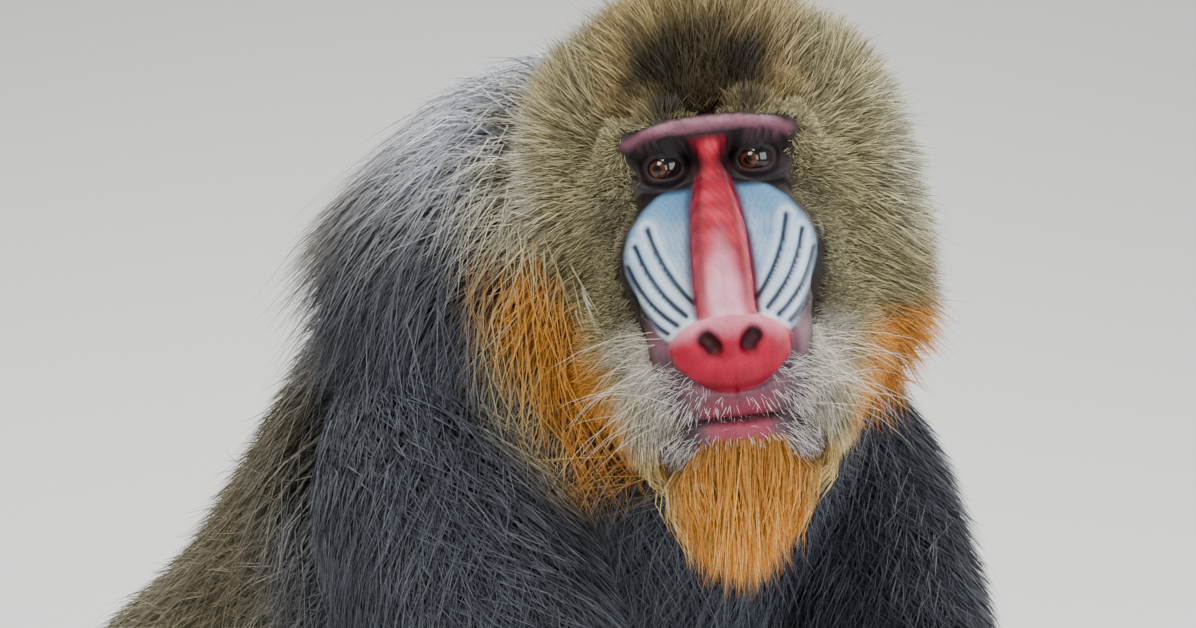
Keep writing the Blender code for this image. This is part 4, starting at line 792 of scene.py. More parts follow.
def coat_colours(m):
    """The markings of skin and coat at points of the model: the colour, and how grizzled it is."""
    p = to_head(m)
    x, y, z = np.abs(p[:, 0]), p[:, 1], p[:, 2]
    flat = np.column_stack([x, z])
    soft, small = waver(m, 0.05, 5), waver(m, 0.016, 6)
    # head: olive, darker beside the face, pale outside, golden crown with a near-black patch
    head = np.tile(hue(182, 170, 126), (len(m), 1))
    head = blend(head, hue(140, 131, 94), np.clip(0.5 + 0.5 * soft, 0, 1))
    head = blend(head, hue(88, 84, 66), 0.60 * (1 - fade(x, 0.050, 0.072)) * fade(-z, -0.010, 0.020))
    head = blend(head, hue(214, 208, 184), 0.8 * fade(x, 0.080, 0.106) * fade(z, -0.070, -0.010))
    golden = fade(z, 0.022, 0.034) * fade(0.066 - x, 0, 0.024)
    head = blend(head, hue(160, 132, 76), 0.60 * golden)
    edge = np.linalg.norm((flat - np.clip(flat, PATCH[0], PATCH[1])) * (1, 0.85), axis=1) + 0.005 * small
    dark = (1 - fade(edge, 0.010, 0.033)) * (0.88 + 0.12 * fade(x, 0.004, 0.016))
    low = 0.7 * fade(0.024 - x, 0, 0.012) * fade(z, 0.020, 0.030) * fade(0.050 - z, 0, 0.02)
    dark = np.maximum(dark, low)
    head = blend(head, hue(36, 28, 16), 0.95 * dark)
    head = blend(head, hue(128, 128, 128), 0.8 * fade(-z, 0.108, 0.140) * fade(x, 0.040, 0.060))
    # orange ruff with pale yellow edges, whitish whiskers, golden-orange beard
    away = to_line(flat, RUFF) + 0.004 * small
    start = 0.038 + 0.034 * fade(p[:, 0], -0.02, 0.02)
    ruff = (1 - fade(away, 0.018, 0.038)) * fade(0.105 - y, 0, 0.03)
    ruff *= fade(-z + 0.006 * small - start, 0, 0.028)
    orange = blend(np.tile(hue(218, 146, 44), (len(m), 1)), hue(206, 182, 122), fade(away, 0.010, 0.030))
    head = blend(head, orange, 0.95 * ruff)
    light = (1 - fade(to_line(flat, WHISKERS) + 0.004 * small, 0.006, 0.020)) * fade(0.030 - y, 0, 0.02)
    head = blend(head, hue(222, 214, 196), 0.84 * light)
    beard = fade(-z, 0.136, 0.148) * fade(0.066 - x, 0, 0.014) * fade(-0.004 - y, 0, 0.02)
    golden_edge = blend(np.tile(hue(214, 140, 38), (len(m), 1)), hue(232, 206, 136), fade(x, 0.026, 0.050))
    head = blend(head, golden_edge, beard)
    grizzle = 1 - 0.85 * np.maximum.reduce([ruff, beard, light, dark])
    # body: pale mantle, blue-black shoulder and chest, olive-brown back, pale belly, dark lower limbs
    q = m - SHIFT
    back = fade(q[:, 1] + 0.02 * soft, -0.010, 0.110)
    body = blend(np.tile(hue(136, 138, 142), (len(m), 1)), hue(112, 104, 80), back)
    aside = 0.036 * fade(np.abs(q[:, 0]), 0.075, 0.125)
    mantle = fade(q[:, 2] - aside + 0.012 * soft + 0.006 * small, 0.440 + 0.02 * back, 0.520) * (1 - 0.45 * back)
    body = blend(body, hue(208, 212, 224), 0.9 * mantle)
    shoulder = fade(0.490 + aside - q[:, 2] + 0.016 * soft, 0.0, 0.075) * (1 - fade(q[:, 1], 0.010, 0.085))
    shoulder *= 1 - fade(0.21 - q[:, 2], 0, 0.06)
    body = blend(body, hue(64, 68, 80), 0.90 * shoulder)
    body = blend(body, hue(88, 84, 68), 0.6 * fade(0.22 - q[:, 2], 0, 0.07))
    belly = fade(0.070 - np.abs(q[:, 0]), 0, 0.04) * fade(0.24 - q[:, 2] - 0.5 * (0.15 - q[:, 1]), 0, 0.05)
    belly *= fade(0.28 - q[:, 1], 0, 0.06)
    body = blend(body, hue(164, 158, 138), 0.6 * belly)
    low = fade(0.12 - q[:, 2], 0, 0.08) * (1 - fade(q[:, 1], 0.26, 0.32))
    body = blend(body, hue(50, 46, 40), 0.7 * low)
    own = fade(head_distance(p), 0.046, 0.072)
    own = np.maximum(own, fade(-z, 0.150, 0.176) * (1 - beard))
    own = np.maximum(own, fade(y, 0.105, 0.145))
    colour = blend(head, body, own) * (1 + 0.09 * soft + 0.06 * small)[:, None]
    return np.clip(colour, 0, 1), grizzle * (1 - own) + own * (1 - 0.1 * shoulder)


def skin_colours(m):
    """Bare skin of body and limbs: the coat's colour, darker, with the coloured rump."""
    colour, _ = coat_colours(m)
    q = m - SHIFT
    x = np.abs(q[:, 0])
    tone = 0.42 * colour
    rump = blend(np.tile(hue(150, 150, 200), (len(m), 1)), hue(206, 140, 176), fade(0.030 - x, 0, 0.020))
    rump = blend(rump, hue(204, 60, 90), 0.8 * fade(0.014 - x, 0, 0.010) * fade(q[:, 2], 0.05, 0.09))
    rump = blend(rump, hue(150, 110, 120), fade(0.045 - q[:, 2], 0, 0.015))
    rump = rump * (1 + 0.08 * waver(m, 0.006, 9))[:, None]
    return np.clip(blend(tone, rump, rump_share(m)), 0, 1)


paint(body_skin, "paint", skin_colours(mesh_points(body_skin)))
body_skin.data.materials.append(skin_material("body_skin", 0.6, 500.0, 0.0010))
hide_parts("neck", "chest", "hips", "tail", *[f"{limb}_{word}" for limb in LIMBS
                                                          for word in ("left", "right")])


# Hands and feet
# Real piece: bare, dark grey, leathery hands and feet with jointed digits.
# Palm, sole and digits are tubes melted together; fine creases come from the material.

def digit(start, along, turned, length, thick):
    """Stations of a finger or toe: it arches up at its middle joint and comes down to the floor."""
    way = turn(-turned, "Z") @ np.array([0.0, -1.0, 0.0])
    root = np.array([start, along, 0.0]) - 0.016 * way
    reach = np.array([0.0, 0.22, 0.48, 0.76, 1.0]) * length + 0.016
    width = thick * np.array([1.08, 0.98, 0.94, 0.86, 0.66])
    rows = np.column_stack([root + reach[:, None] * way, width, width])
    rows[:, 2] = thick * np.array([1.00, 1.55, 1.50, 0.92, 0.60])
    return rows

def placed_extremity(base, digits, origin, turned, side):
    """The tubes of one hand or foot in the model, and how its own frame is turned."""
    place = turn(turned * side, "Z")
    across = place @ np.array([1.0, 0.0, 0.0])
    tubes = []
    for rows, around in [(np.array(base, float), 40)] + [(digit(*d), 24) for d in digits]:
        rows = mirrored(rows, side)
        rows[:, :3] = rows[:, :3] @ place.T + origin * (side, 1, 1) + SHIFT
        tubes.append(tube(rows, across, around, 30))
    return tubes, place


EXTREMITIES = ((PALM, FINGERS + (THUMB,), WRIST, HAND_TURN), (SOLE, TOES + (GREAT_TOE,), HEEL, FOOT_TURN))
hand_tubes = []
for side in (1, -1):
    for extremity in EXTREMITIES:
        hand_tubes += placed_extremity(*extremity, side)[0]
hands = merged_tubes("hands_and_feet", hand_tubes, 0.0019, 5)
hand_points = mesh_points(hands)
hand_points[:, 2] = np.maximum(hand_points[:, 2], 0.0)
hands.data.vertices.foreach_set("co", hand_points.astype(np.float32).ravel())
hand_tone = blend(np.tile(hue(46, 42, 42), (len(hand_points), 1)), hue(96, 78, 76),
                  np.clip(0.3 + 0.5 * waver(hand_points, 0.012, 11), 0, 1))
paint(hands, "paint", hand_tone)
hands.data.materials.append(skin_material("hand_skin", 0.5, 420.0, 0.0012))
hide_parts(*[f"{part}_{word}" for part in ("hand", "foot") for word in ("left", "right")])


# Nails
# Real piece: short, dark, curved nails on every digit.
# Each is a plate bent round the digit's tip, given by a turn across it and a share along it.

def nail_rings(rows, side, place, origin):
    """One nail: an arc across and a share along give a plate that thins and turns down at its free edge."""
    tip, before = rows[-1], rows[-2]
    way = unit(tip[:3] - before[:3])
    across = unit(np.cross(way, [0.0, 0.0, 1.0]))
    up = np.cross(across, way)
    share = np.linspace(0, 1, 14)[:, None, None]
    arc = np.radians(np.linspace(-62, 62, 17))[None, :, None]
    reach = tip[4] * 1.05
    lift = reach * (1.02 - 0.45 * share**2)
    centre = tip[:3] - way * 0.006 + way * 0.0145 * share
    outer = centre + np.sin(arc) * across * reach * 0.92 + np.cos(arc) * up * lift
    inner = centre + np.sin(arc) * across * reach * 0.86 + np.cos(arc) * up * (lift - 0.0011)
    rings = np.concatenate([outer, inner[:, ::-1]], 1)
    flat = rings.reshape(-1, 3) * (side, 1, 1) @ place.T + origin * (side, 1, 1) + SHIFT
    return flat.reshape(rings.shape)


nail_points, nail_corners, nail_sizes, nail_count = [], [], [], 0
for side in (1, -1):
    for base, digits, origin, turned in EXTREMITIES:
        for numbers in digits:
            rings = nail_rings(digit(*numbers), side, turn(turned * side, "Z"), origin)
            found, size = tube_faces(*rings.shape[:2])
            nail_corners.append(found + nail_count)
            nail_sizes.append(size)
            nail_points.append(np.vstack([rings.reshape(-1, 3), rings[[0, -1]].mean(1)]))
            nail_count += len(nail_points[-1])
nails = make_mesh("nails", np.vstack(nail_points), np.concatenate(nail_corners), np.concatenate(nail_sizes))
nail_finish, nail_shader, nail_nodes, nail_links = principled("nail", 0.3)
nail_shader.inputs["Base Color"].default_value = (*hue(44, 34, 30), 1)
nails.data.materials.append(nail_finish)


# Coat
# Real piece: dense, soft, grizzled hair, long over mantle, neck and crown and short on the limbs.
# Flat tapered tufts rooted at random on the skin's own grids, following the lie of the hair and the form.

def grid_frames(rings):
    """The outward normal and the two derivatives, per unit along and around, of a wrapped grid."""
    along = np.gradient(rings, axis=0) * (len(rings) - 1)
    around = (np.roll(rings, -1, 1) - np.roll(rings, 1, 1)) / 2 * rings.shape[1]
    normal = unit(np.cross(around, along))
    outward = rings - rings.mean(1, keepdims=True)
    flip = np.where((normal * outward).sum(-1).mean() < 0, -1.0, 1.0)
    return normal * flip, along, around


def read(grid, a, b):
    """Bilinear reading of a grid at a, 0 to 1 along, and b, 0 to 1 around."""
    rows, columns = grid.shape[:2]
    x, y = np.clip(a, 0, 1) * (rows - 1), (b % 1) * columns
    i, j = np.clip(x.astype(int), 0, rows - 2), y.astype(int) % columns
    k = (j + 1) % columns
    f, g = (x - i)[..., None], (y - np.floor(y))[..., None]
    here = grid[i, j] * (1 - f) + grid[i + 1, j] * f
    beside = grid[i, k] * (1 - f) + grid[i + 1, k] * f
    return here * (1 - g) + beside * g


def random_roots(rings, weight, count, random):
    """Random places on a grid, as shares along and around, more where the cells' area and weight are more."""
    _, along, around = grid_frames(rings)
    area = np.linalg.norm(np.cross(along, around), axis=-1)[:-1]
    share = (area * weight[:-1]).ravel()
    cell = random.choice(len(share), count, p=share / share.sum())
    row, column = np.divmod(cell, rings.shape[1])
    a = (row + random.random(count)) / (len(rings) - 1)
    b = (column + random.random(count)) / rings.shape[1]
    return a, b


MOST_TRIANGLES = 195000  # in one piece of the coat


def levels(count):
    """Shares of a tuft's length at which it has a pair of points, up to its tip."""
    return np.linspace(0, 1, count) ** 0.9


def tuft_meshes(name, paths, across, width, tones, charts, finish):
    """Tufts as flat tapered blades, in meshes of a size that the export takes: paths holds each tuft's middle
    line, a pair of points stands at each place along it, and one at its tip. Each tuft is mapped to a small
    patch at its root's place on the grid that it grows on."""
    count, steps, _ = paths.shape
    taper = np.interp(levels(steps)[:-1], [0.0, 0.4, 1.0], [0.75, 1.0, 0.25])
    sides = across[:, None] * (width[:, None] * taper)[:, :, None]
    pairs = np.stack([paths[:, :-1] - sides, paths[:, :-1] + sides], 2).reshape(count, -1, 3)
    points = np.concatenate([pairs, paths[:, -1:]], 1)
    each = points.shape[1]
    colours = tones[:, np.minimum(np.arange(each) // 2, steps - 1)]
    low = 2 * np.arange(steps - 2)[:, None] + [0, 1, 3, 2]
    corners = np.concatenate([low.ravel(), [each - 3, each - 2, each - 1]])
    sizes = np.array([4] * (steps - 2) + [3])
    patch = np.column_stack([np.arange(each) % 2, levels(steps)[np.arange(each) // 2]]) * 0.003
    most = MOST_TRIANGLES // (2 * steps - 3)
    for part, start in enumerate(range(0, count, most)):
        rows = slice(start, start + most)
        n = len(points[rows])
        own = (corners[None] + each * np.arange(n)[:, None]).ravel()
        obj = make_mesh(f"{name}_{part}", points[rows].reshape(-1, 3), own, np.tile(sizes, n))
        paint(obj, "paint", colours[rows].reshape(-1, 3))
        unwrap = (charts[rows][:, None] * 0.99 + patch[None]).reshape(-1, 2)
        layer = obj.data.uv_layers.new(name="OFBake")
        layer.data.foreach_set("uv", unwrap[own].astype(np.float32).ravel())
        obj.data.materials.append(finish)


def tuft_tones(m, random, steps, contrast=1.0):
    """Colours from root to tip: dark roots and a darker band, then a light or dark tip, most where the coat
    is grizzled."""
    colour, grizzle = coat_colours(m)
    strength = (grizzle * contrast)[:, None]
    kind = random.random((len(m), 1))
    base = colour * (0.84 + 0.32 * random.random((len(m), 1)))
    tip = base * (1 + 0.90 * (kind > 0.62) * strength) * (1 - 0.66 * (kind < 0.34) * strength)
    tip = tip + 0.040 * (kind > 0.62) * strength
    share = levels(steps)[None, :, None]
    tones = base[:, None] * (0.44 + 0.42 * share) + (tip - 0.86 * base)[:, None] * share**2
    return np.clip(tones, 0, 0.95)


def hair_material(name):
    """Hair: painted colour with fine streaks of light and dark, and a soft shine."""
    material, shader, nodes, links = principled(name, 0.55, 0.35)
    fine = noise_node(nodes, links, 700.0, 2.0)
    links.new(varied_colour(nodes, links, "paint", fine, 0.72, 1.28), shader.inputs["Base Color"])
    return material


coat_finish = hair_material("coat")


def inside_gap(m, skip):
    """Least distance to the body's tubes, each a string of balls, leaving out the tube that carries the
    tufts."""
    best = np.full(len(m), 1.0)
    for name, side, stations, across in CARRIERS:
        if (name, side) == skip:
            continue
        rows = curve(mirrored(stations, side), 26)
        gap = np.linalg.norm(m[:, None] - (rows[:, :3] + SHIFT)[None], axis=2) - rows[:, 3:5].min(1)
        best = np.minimum(best, gap.min(1))
    return best


CARRIERS = [("trunk", 1, TRUNK, (1, 0, 0)), ("tail", 1, TAIL, (1, 0, 0))]
for side in (1, -1):
    CARRIERS += [(limb, side, stations, across) for limb, (stations, across) in LIMBS.items()]
# For each carrier: its tufts, the points along one, half their width, and how far one travels over the skin
# for each metre of coat depth
COAT_PLAN = {"trunk": (132000, 4, 0.00068, 1.25), "tail": (5000, 3, 0.0006, 1.8),
             "upper_arm": (30000, 3, 0.00066, 1.35), "forearm": (12000, 3, 0.0006, 1.8),
             "thigh": (17000, 3, 0.0008, 1.7), "shin": (9000, 3, 0.0006, 1.9)}
STRAYS = 0.05  # share of hairs that stand out beyond the rest


def tube_coat(name, side, stations, across, index, random):
    """Paths of the tufts on one tube: each runs along it as it rises from the skin to the coat's depth. On
    the trunk and upper arm they also sag towards the floor."""
    count, steps, half, travel = COAT_PLAN[name]
    rows = curve(mirrored(stations, side), 60)
    rings = tube(rows[:, :5], np.array(across, float) * (side, 1, 1), 64, 60, False) + SHIFT
    normal, along, around = grid_frames(rings)
    upper = 1.2 * fade(rings[:, :, 2], 0.26, 0.36) + 1.0 * fade(rings[:, :, 2], 0.42, 0.50)
    a, b = random_roots(rings, 1 + upper * (name == "trunk"), count, random)
    root = read(rings, a, b)
    keep = (inside_gap(root, (name, side)) > -0.002) & (head_distance(to_head(root)) > -0.006)
    keep &= (random.random(count) > rump_share(root)) & (root[:, 2] > 0.012)
    a, b, root = a[keep], b[keep], root[keep]
    stray = random.random(len(a)) < STRAYS
    depth = np.interp(a, np.linspace(0, 1, 60), rows[:, 5]) * (0.74 + 0.34 * random.random(len(a)))
    depth *= 1 + 0.16 * stray
    fuller = 1 + 0.55 * fade(root[:, 2], 0.47, 0.53) * (name == "trunk")
    if name in ("upper_arm", "thigh"):
        depth *= 0.25 + 0.75 * fade(a, 0.06, 0.42)
    length = np.linalg.norm(read(along, a, b), axis=-1)
    girth = np.linalg.norm(read(around, a, b), axis=-1)
    sag = {"trunk": 0.75, "upper_arm": 0.7}.get(name, 0.0)
    sag_a, sag_b = -read(along, a, b)[:, 2] / length, -read(around, a, b)[:, 2] / girth
    swirl = 0.20 * waver(root, 0.035, 21 + index) + 0.20 * random.standard_normal(len(a))
    go_a = (-1.0 if name == "trunk" else 1.0) + sag * sag_a + 0.15 * random.standard_normal(len(a))
    go_b = sag * sag_b + swirl
    size = np.hypot(go_a, go_b)
    reach = (travel * depth + 0.006) * (0.8 + 0.4 * random.random(len(a)))
    share = levels(steps)[None]
    step_a = a[:, None] + (go_a / size * reach / length)[:, None] * share
    curl = 0.30 * random.standard_normal(len(a))[:, None] * share**2
    step_b = b[:, None] + (reach / girth)[:, None] * ((go_b / size)[:, None] * share + curl)
    over = np.maximum(step_a - 1, 0) + np.maximum(-step_a, 0)
    paths = read(rings, step_a, step_b)
    ends = read(along, np.clip(step_a, 0, 1), step_b)
    paths = paths + ends * (np.where(step_a > 1, over, -over))[..., None]
    rise = (depth * fuller)[:, None] * (1 - (1 - share) ** 1.5) - 0.003 * (share == 0)
    paths = paths + read(normal, step_a, step_b) * rise[..., None]
    paths[:, :, 2] = np.maximum(paths[:, :, 2], 0.001)
    way = unit(paths[:, -1] - paths[:, 0])
    side_way = unit(np.cross(way, read(normal, a, b)) + 0.5 * random.standard_normal((len(a), 3)))
    side_way = unit(side_way - way * (side_way * way).sum(1, keepdims=True))
    chart = np.column_stack([(index + a) / len(CARRIERS), b % 1])
    width = half * (0.7 + 0.6 * random.random(len(a))) * (1 - 0.5 * stray)
    return paths, side_way, width, chart


random = np.random.default_rng(3)
for index, (name, side, stations, across) in enumerate(CARRIERS):
    paths, side_way, width, chart = tube_coat(name, side, stations, across, index, random)
    tones = tuft_tones(paths[:, -2:].mean(1), random, paths.shape[1], 0.62)
    word = "" if name in ("trunk", "tail") else {1: "_left", -1: "_right"}[side]
    tuft_meshes(f"coat_{name}{word}", paths, side_way, width, tones, chart, coat_finish)


# Hood
# Real piece: plush, upstanding grizzled hair over crown, cheeks and throat, short at the face's edge.
# Tufts on the head's grid; each point of a tuft is brought to its height above the skin by the head's field.

def coat_on_head(p):
    """Depth of the dense coat over the bare head: none on the face, and full behind the brow and cheeks."""
    x, y, z = np.abs(p[:, 0]), p[:, 1], p[:, 2]
    above = fade(z, 0.020, 0.050) * fade(y, -0.012, 0.030)
    cheek = 1 + 0.4 * dip(z + 0.065, 0.045)
    beside = cheek * fade(y + 0.35 * (x - 0.045), 0.000, 0.040) * fade(x, 0.030, 0.055)
    behind = fade(y, 0.020, 0.050)
    jaw = 0.5 * fade(y, -0.060, 0.000) * fade(-z, 0.080, 0.100)
    return COAT_ON_HEAD * np.maximum.reduce([1.35 * above, beside, behind, jaw])

def head_lie(p):
    """The way the hair runs on the head: back over crown and cheeks, and down at the jaw."""
    x, y, z = p[:, 0], p[:, 1], p[:, 2]
    side = np.sign(x) * np.minimum(np.abs(x) / 0.03, 1.0)
    crown = fade(z, -0.010, 0.030)
    jaw = fade(-z, 0.085, 0.115) * fade(-y, -0.030, 0.010)
    cheek = np.maximum(0.0, 1 - crown - jaw)
    zero = np.zeros(len(p))
    way = crown[:, None] * np.column_stack([0.20 * side, zero + 0.95, zero + 0.30])
    way = way + cheek[:, None] * np.column_stack([0.55 * side, zero + 0.75, zero - 0.50])
    return unit(way + jaw[:, None] * np.column_stack([0.10 * side, zero + 0.10, zero - 1.0]))


def head_normal(p):
    """The outward direction of the head's field, from small steps along each axis."""
    step = 0.0008
    moved = [head_distance(p + step * axis) - head_distance(p - step * axis) for axis in np.eye(3)]
    return unit(np.column_stack(moved))


def bare_spot(p):
    """How far a point lies inside the dark bare spots beside the chin: 1 in the middle, 0 outside."""
    away = np.hypot((np.abs(p[:, 0]) - 0.030) / 0.0095, (p[:, 2] + 0.134) / 0.0110)
    return (1 - fade(away, 0.75, 1.10)) * fade(-p[:, 1], 0.010, 0.030)


def hood_depth(p):
    """Depth of the coat on the head: a few millimetres at the face's edge, and full farther back."""
    gap, x, z = face_gap(p), np.abs(p[:, 0]), p[:, 2]
    long = dip(z + 0.112, 0.026) * fade(gap, 0.001, 0.016)
    corner = fade(x, 0.028, 0.050) * fade(z, 0.000, 0.040) * fade(0.130 - z, 0, 0.03)
    full = 2 * coat_on_head(p) * (1.08 + 0.34 * corner)
    return np.maximum(full, 0.003 + 0.010 * fade(gap, 0.002, 0.025) + 0.012 * long)


COAT_ON_HEAD = 0.016
HOOD_TUFTS = 170000
normal_grid, _, _ = grid_frames(head_rings)


def head_roots(weight, count, random):
    """Roots on the head: their places on its grid, in the head's frame, and the normals there."""
    a, b = random_roots(head_rings, weight.reshape(head_rings.shape[:2]), count, random)
    return a, b, read(head_rings, a, b), read(normal_grid, a, b)


def head_tufts(name, root, normal, chart, depth, reach, lie, width, steps, tones):
    """Tufts on the head: each runs the given way along the skin, and each of its points is set to its height
    above the head's field."""
    lie = unit(lie - normal * (lie * normal).sum(1, keepdims=True))
    paths = [root - 0.002 * normal]
    for share in levels(steps)[1:]:
        at = root + lie * (reach * share)[:, None] + normal * (depth * share * 0.7)[:, None]
        height = depth * (1 - (1 - share) ** 1.5)
        paths.append(at + head_normal(at) * (height - head_distance(at))[:, None])
    paths = np.stack(paths, 1)
    way = unit(paths[:, -1] - paths[:, 0])
    side_way = unit(np.cross(way, normal) + 0.5 * random.standard_normal(root.shape))
    side_way = unit(side_way - way * (side_way * way).sum(1, keepdims=True))
    placed = from_head(paths.reshape(-1, 3)).reshape(paths.shape)
    if tones is None:
        tones = tuft_tones(placed[:, -2:].mean(1), random, steps, 1.15)
    tuft_meshes(name, placed, side_way @ HEAD_TURN.T, width, tones, chart, coat_finish)


gap = face_gap(head_rings.reshape(-1, 3)).reshape(head_rings.shape[:2])
weight = fade(gap, 0.0, 0.003) * (1 + 0.8 * (1 - fade(gap, 0.004, 0.020)))
weight[:30] = 0.3
a, b, root, normal = head_roots(weight, HOOD_TUFTS, random)
rows = curve(TRUNK, 40)
from_neck = np.linalg.norm(root[:, None] - to_head(rows[:, :3] + SHIFT)[None], axis=2) - rows[:, 3:5].min(1)
keep = (from_neck.min(1) > -0.004) & (root[:, 2] > -0.150) & (face_gap(root) > 0.0008)
keep &= random.random(len(root)) > bare_spot(root)
a, b, root, normal = a[keep], b[keep], root[keep], normal[keep]
stray = random.random(len(root)) < STRAYS
depth = hood_depth(root) * (0.74 + 0.34 * random.random(len(root))) * (1 + 0.20 * stray)
depth *= 1 + 0.07 * waver(root, 0.012, 31)
lie = head_lie(root) + 0.34 * random.standard_normal(root.shape)
lie = lie + 0.16 * np.column_stack([waver(root, 0.02, seed) for seed in (32, 33, 34)])
width = (0.00024 + 0.00016 * fade(depth, 0.006, 0.03)) * (0.7 + 0.6 * random.random(len(root)))
reach = (0.50 * depth + 0.003) * (1 + 0.8 * fade(-root[:, 2], 0.070, 0.100))
head_tufts("hood", root, normal, np.column_stack([a, b % 1]), depth, reach, lie, width * (1 - 0.4 * stray), 3,
           None)


# Muzzle hair
# Real piece: short white hairs scattered over lips, chin and muzzle sides, and long pale whiskers.
# The same tufts as the hood's, thin, sparse and almost white; the whiskers are long and bow outwards.

MUZZLE_HAIRS = 5200
WHISKER_HAIRS = 56
p = head_rings.reshape(-1, 3)
weight = fade(-p[:, 2], 0.088, 0.102) * fade(-pad_gap(p), -0.001, 0.002) * fade(-p[:, 1], 0.030, 0.050)
weight *= 1 - 0.9 * dip(p[:, 2] - mouth_height(p[:, 1]), 0.0035)
weight *= 0.25 + fade(np.abs(p[:, 0]), 0.010, 0.028) + 0.5 * fade(-p[:, 2], 0.128, 0.134)
a, b, root, normal = head_roots(weight, MUZZLE_HAIRS, random)
x = root[:, 0]
lie = np.column_stack([18 * x, 0.4 + 0 * x, -0.9 + 0 * x]) + 0.30 * random.standard_normal(root.shape)
depth = 0.0025 + 0.0045 * random.random(len(x)) * (0.5 + fade(np.abs(x), 0.012, 0.030))
pale = blend(np.tile(hue(232, 226, 222), (len(x), 1)), hue(120, 96, 96), 1.0 * (random.random(len(x)) < 0.25))
tones = pale[:, None] * np.array([0.6, 0.9, 1.0])[None, :, None]
head_tufts("muzzle_hair", root, normal, np.column_stack([a, b % 1]), depth, 1.5 * depth, lie,
           np.full(len(x), 0.00014), 3, tones)

weight = fade(-p[:, 2], 0.076, 0.084) * fade(p[:, 2], -0.128, -0.118) * fade(-p[:, 1], 0.030, 0.045)
weight *= fade(np.abs(p[:, 0]), 0.026, 0.034)
a, b, root, normal = head_roots(weight, WHISKER_HAIRS, random)
side = np.sign(root[:, :1])
out = unit(np.column_stack([side, 0.10 + 0 * side, 0.30 * random.standard_normal(side.shape)]))
length = 0.026 + 0.034 * random.random(len(root))
share = levels(5)[None, :, None]
droop = np.array([0.0, 0.5, -1.0]) * (0.25 + 0.35 * random.random((len(root), 1)))
paths = root[:, None] + (out[:, None] * share + droop[:, None] * share**2) * length[:, None, None]
paths = paths + (normal[:, None] * 0.012 * share * (1 - share))
side_way = unit(np.cross(out, [0.0, -1.0, 0.2]))
tones = np.tile(hue(236, 230, 214), (len(root), 5, 1))
tuft_meshes("whiskers", from_head(paths.reshape(-1, 3)).reshape(paths.shape), side_way @ HEAD_TURN.T,
            np.full(len(root), 0.00011), tones, np.column_stack([a, b % 1]), coat_finish)


# Beard
# Real piece: a golden-orange beard that hangs from chin and jaw and draws together to a point.
# Tufts rooted under the jaw that fall straight with a slight bend.

BEARD_TUFTS = 16000
BEARD_CLUMPS = 110
weight = fade(-p[:, 2], 0.131, 0.142) * fade(0.020 - p[:, 1], 0, 0.03)
weight *= fade(0.056 - np.abs(p[:, 0]), 0, 0.01) * (1 - bare_spot(p))
a, b, root, normal = head_roots(weight, BEARD_TUFTS, random)
# every tuft leans towards the middle of the clump that it belongs to
clump = root[random.integers(0, BEARD_TUFTS, BEARD_CLUMPS)]
own = np.argmin(((root[:, None, :2] - clump[None, :, :2]) ** 2).sum(2), axis=1)
lean = (clump[own] - root) * (0.7, 0.7, 0)
x = root[:, 0]
way = np.column_stack([-4.8 * x - 0.10, -0.20 + 0 * x, -1.0 + 0 * x])
way = unit(way + 0.09 * random.standard_normal(root.shape))
full = 0.070 - 0.82 * np.abs(x) - 0.60 * np.maximum(root[:, 1] + 0.080, 0)
length = full * (0.78 + 0.24 * random.random(BEARD_CLUMPS)[own]) * (0.62 + 0.42 * random.random(len(x)))
length = np.maximum(length, 0.014)
share = levels(4)[None, :, None]
bend = np.column_stack([14.0 * x, 0.9 + 0 * x, 0 * x]) + 0.5 * random.standard_normal((len(x), 3))
paths = root[:, None] + way[:, None] * length[:, None, None] * share + lean[:, None] * share
paths = paths + bend[:, None] * length[:, None, None] * (0.10 * share**2)
# the hair swells out from the chin before it draws together
paths = paths + np.sign(x)[:, None, None] * np.array([0.010, 0.0, 0.0]) * np.sin(math.pi * share) * fade(
    np.abs(x), 0.008, 0.030)[:, None, None]
side_way = unit(np.cross(way, [0.0, -1.0, 0.0]) + 0.4 * random.standard_normal(root.shape))
placed = from_head(paths.reshape(-1, 3)).reshape(paths.shape)
tones = tuft_tones(placed[:, 1], random, 4, 0.3)
faded = (random.random(len(x)) < 0.25 + 0.4 * fade(np.abs(x), 0.020, 0.040))[:, None, None]
tones = tones + (hue(244, 216, 146) - tones) * faded * np.array([0.0, 0.15, 0.45, 0.75])[None, :, None]
tuft_meshes("beard", placed, side_way @ HEAD_TURN.T, 0.00036 * (0.7 + 0.6 * random.random(len(x))), tones,
            np.column_stack([a, b % 1]), coat_finish)


# Camera and light
# The photo's view from the animal's right front, close to eye height, with a long lens; soft studio light.

def placement(axes, place):
    """A matrix that sets an object's axes and place."""
    return Matrix([[*map(float, row), float(value)] for row, value in zip(np.transpose(axes), place)]
                  + [[0, 0, 0, 1]])


camera = bpy.data.objects.new("camera", bpy.data.cameras.new("camera"))
bpy.context.scene.collection.objects.link(camera)
azimuth, elevation = math.radians(-40), math.radians(6)
backward = np.array([math.sin(azimuth) * math.cos(elevation), -math.cos(azimuth) * math.cos(elevation),
                     math.sin(elevation)])
rightward = np.array([math.cos(azimuth), math.sin(azimuth), 0.0])
upward = np.cross(backward, rightward)
aim = EYES_AT - rightward * 0.056 - upward * 0.0753
camera.data.lens, camera.data.sensor_width = 36 * 3.0 / 0.598, 36
camera.matrix_world = placement([rightward, upward, backward], aim + 3.0 * backward)
bpy.context.scene.camera = camera


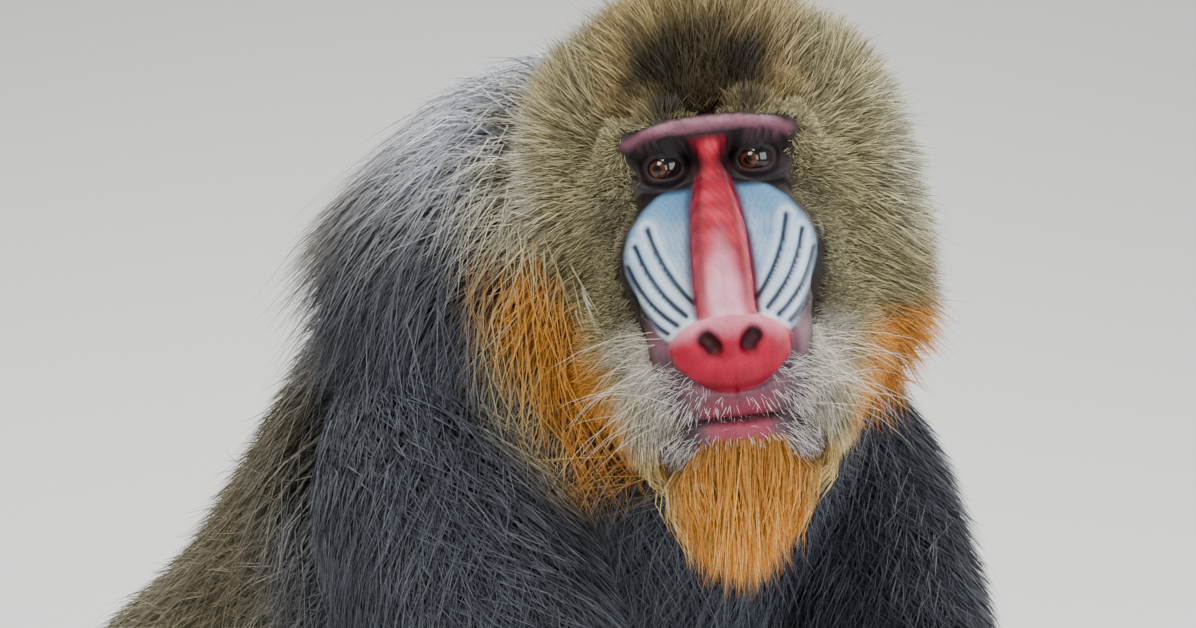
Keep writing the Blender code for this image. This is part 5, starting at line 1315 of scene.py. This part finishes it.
def softbox(name, place, target, size, power, tint):
    """A square area light aimed at a point."""
    data = bpy.data.lights.new(name, "AREA")
    data.size, data.energy, data.color = size, power, tint
    lamp = bpy.data.objects.new(name, data)
    bpy.context.scene.collection.objects.link(lamp)
    away = unit(np.array(place) - target)
    side = unit(np.cross([0.0, 0.0, 1.0], away))
    lamp.matrix_world = placement([side, np.cross(away, side), away], place)


middle = EYES_AT * (1, 1, 0.8)
softbox("key", EYES_AT + 1.7 * backward - 1.0 * rightward + (0, 0, 2.0), middle, 1.4, 82, (1.0, 0.97, 0.93))
softbox("fill", EYES_AT + 1.8 * backward + 1.7 * rightward + (0, 0, 0.5), middle, 1.6, 44, (0.93, 0.96, 1.0))
softbox("rim", EYES_AT - 1.5 * backward - 0.6 * rightward + (0, 0, 1.6), middle, 1.2, 60, (1.0, 1.0, 1.0))
softbox("far_rim", EYES_AT - 0.9 * backward + 1.6 * rightward + (0, 0, 0.9), middle, 1.0, 40, (1.0, 0.99, 0.96))
world = bpy.data.worlds.new("studio")
world.use_nodes = True
world.node_tree.nodes["Background"].inputs["Color"].default_value = (*hue(206, 208, 210), 1)
world.node_tree.nodes["Background"].inputs["Strength"].default_value = 0.45
bpy.context.scene.world = world

floor_profile = np.array([[-3.0, 0.0], [0.2, 0.0], [0.9, 0.04], [1.6, 0.18], [2.3, 0.48], [2.9, 1.0],
                          [3.3, 1.8], [3.5, 3.2]])
profile = curve(floor_profile, 90)
forward = -backward * (1, 1, 0)
spread = np.array([-4.0, 4.0])
floor_points = (profile[:, 0, None, None] * unit(forward) + spread[None, :, None] * rightward
                + profile[:, 1, None, None] * np.array([0.0, 0.0, 1.0]) + [0, 0, -0.0005])
index = np.arange(90 * 2).reshape(90, 2)
quads = np.stack([index[:-1, 0], index[:-1, 1], index[1:, 1], index[1:, 0]], -1)
floor_mesh = bpy.data.meshes.new("floor")
floor_mesh.from_pydata(floor_points.reshape(-1, 3).tolist(), [], quads.tolist())
floor = bpy.data.objects.new("floor", floor_mesh)
floor_mesh.polygons.foreach_set("use_smooth", np.ones(len(quads), bool))
bpy.context.scene.collection.objects.link(floor)
floor_finish, floor_shader, _, _ = principled("pale_floor", 0.8, 0.2)
floor_shader.inputs["Base Color"].default_value = (*hue(214, 214, 212), 1)
floor_mesh.materials.append(floor_finish)
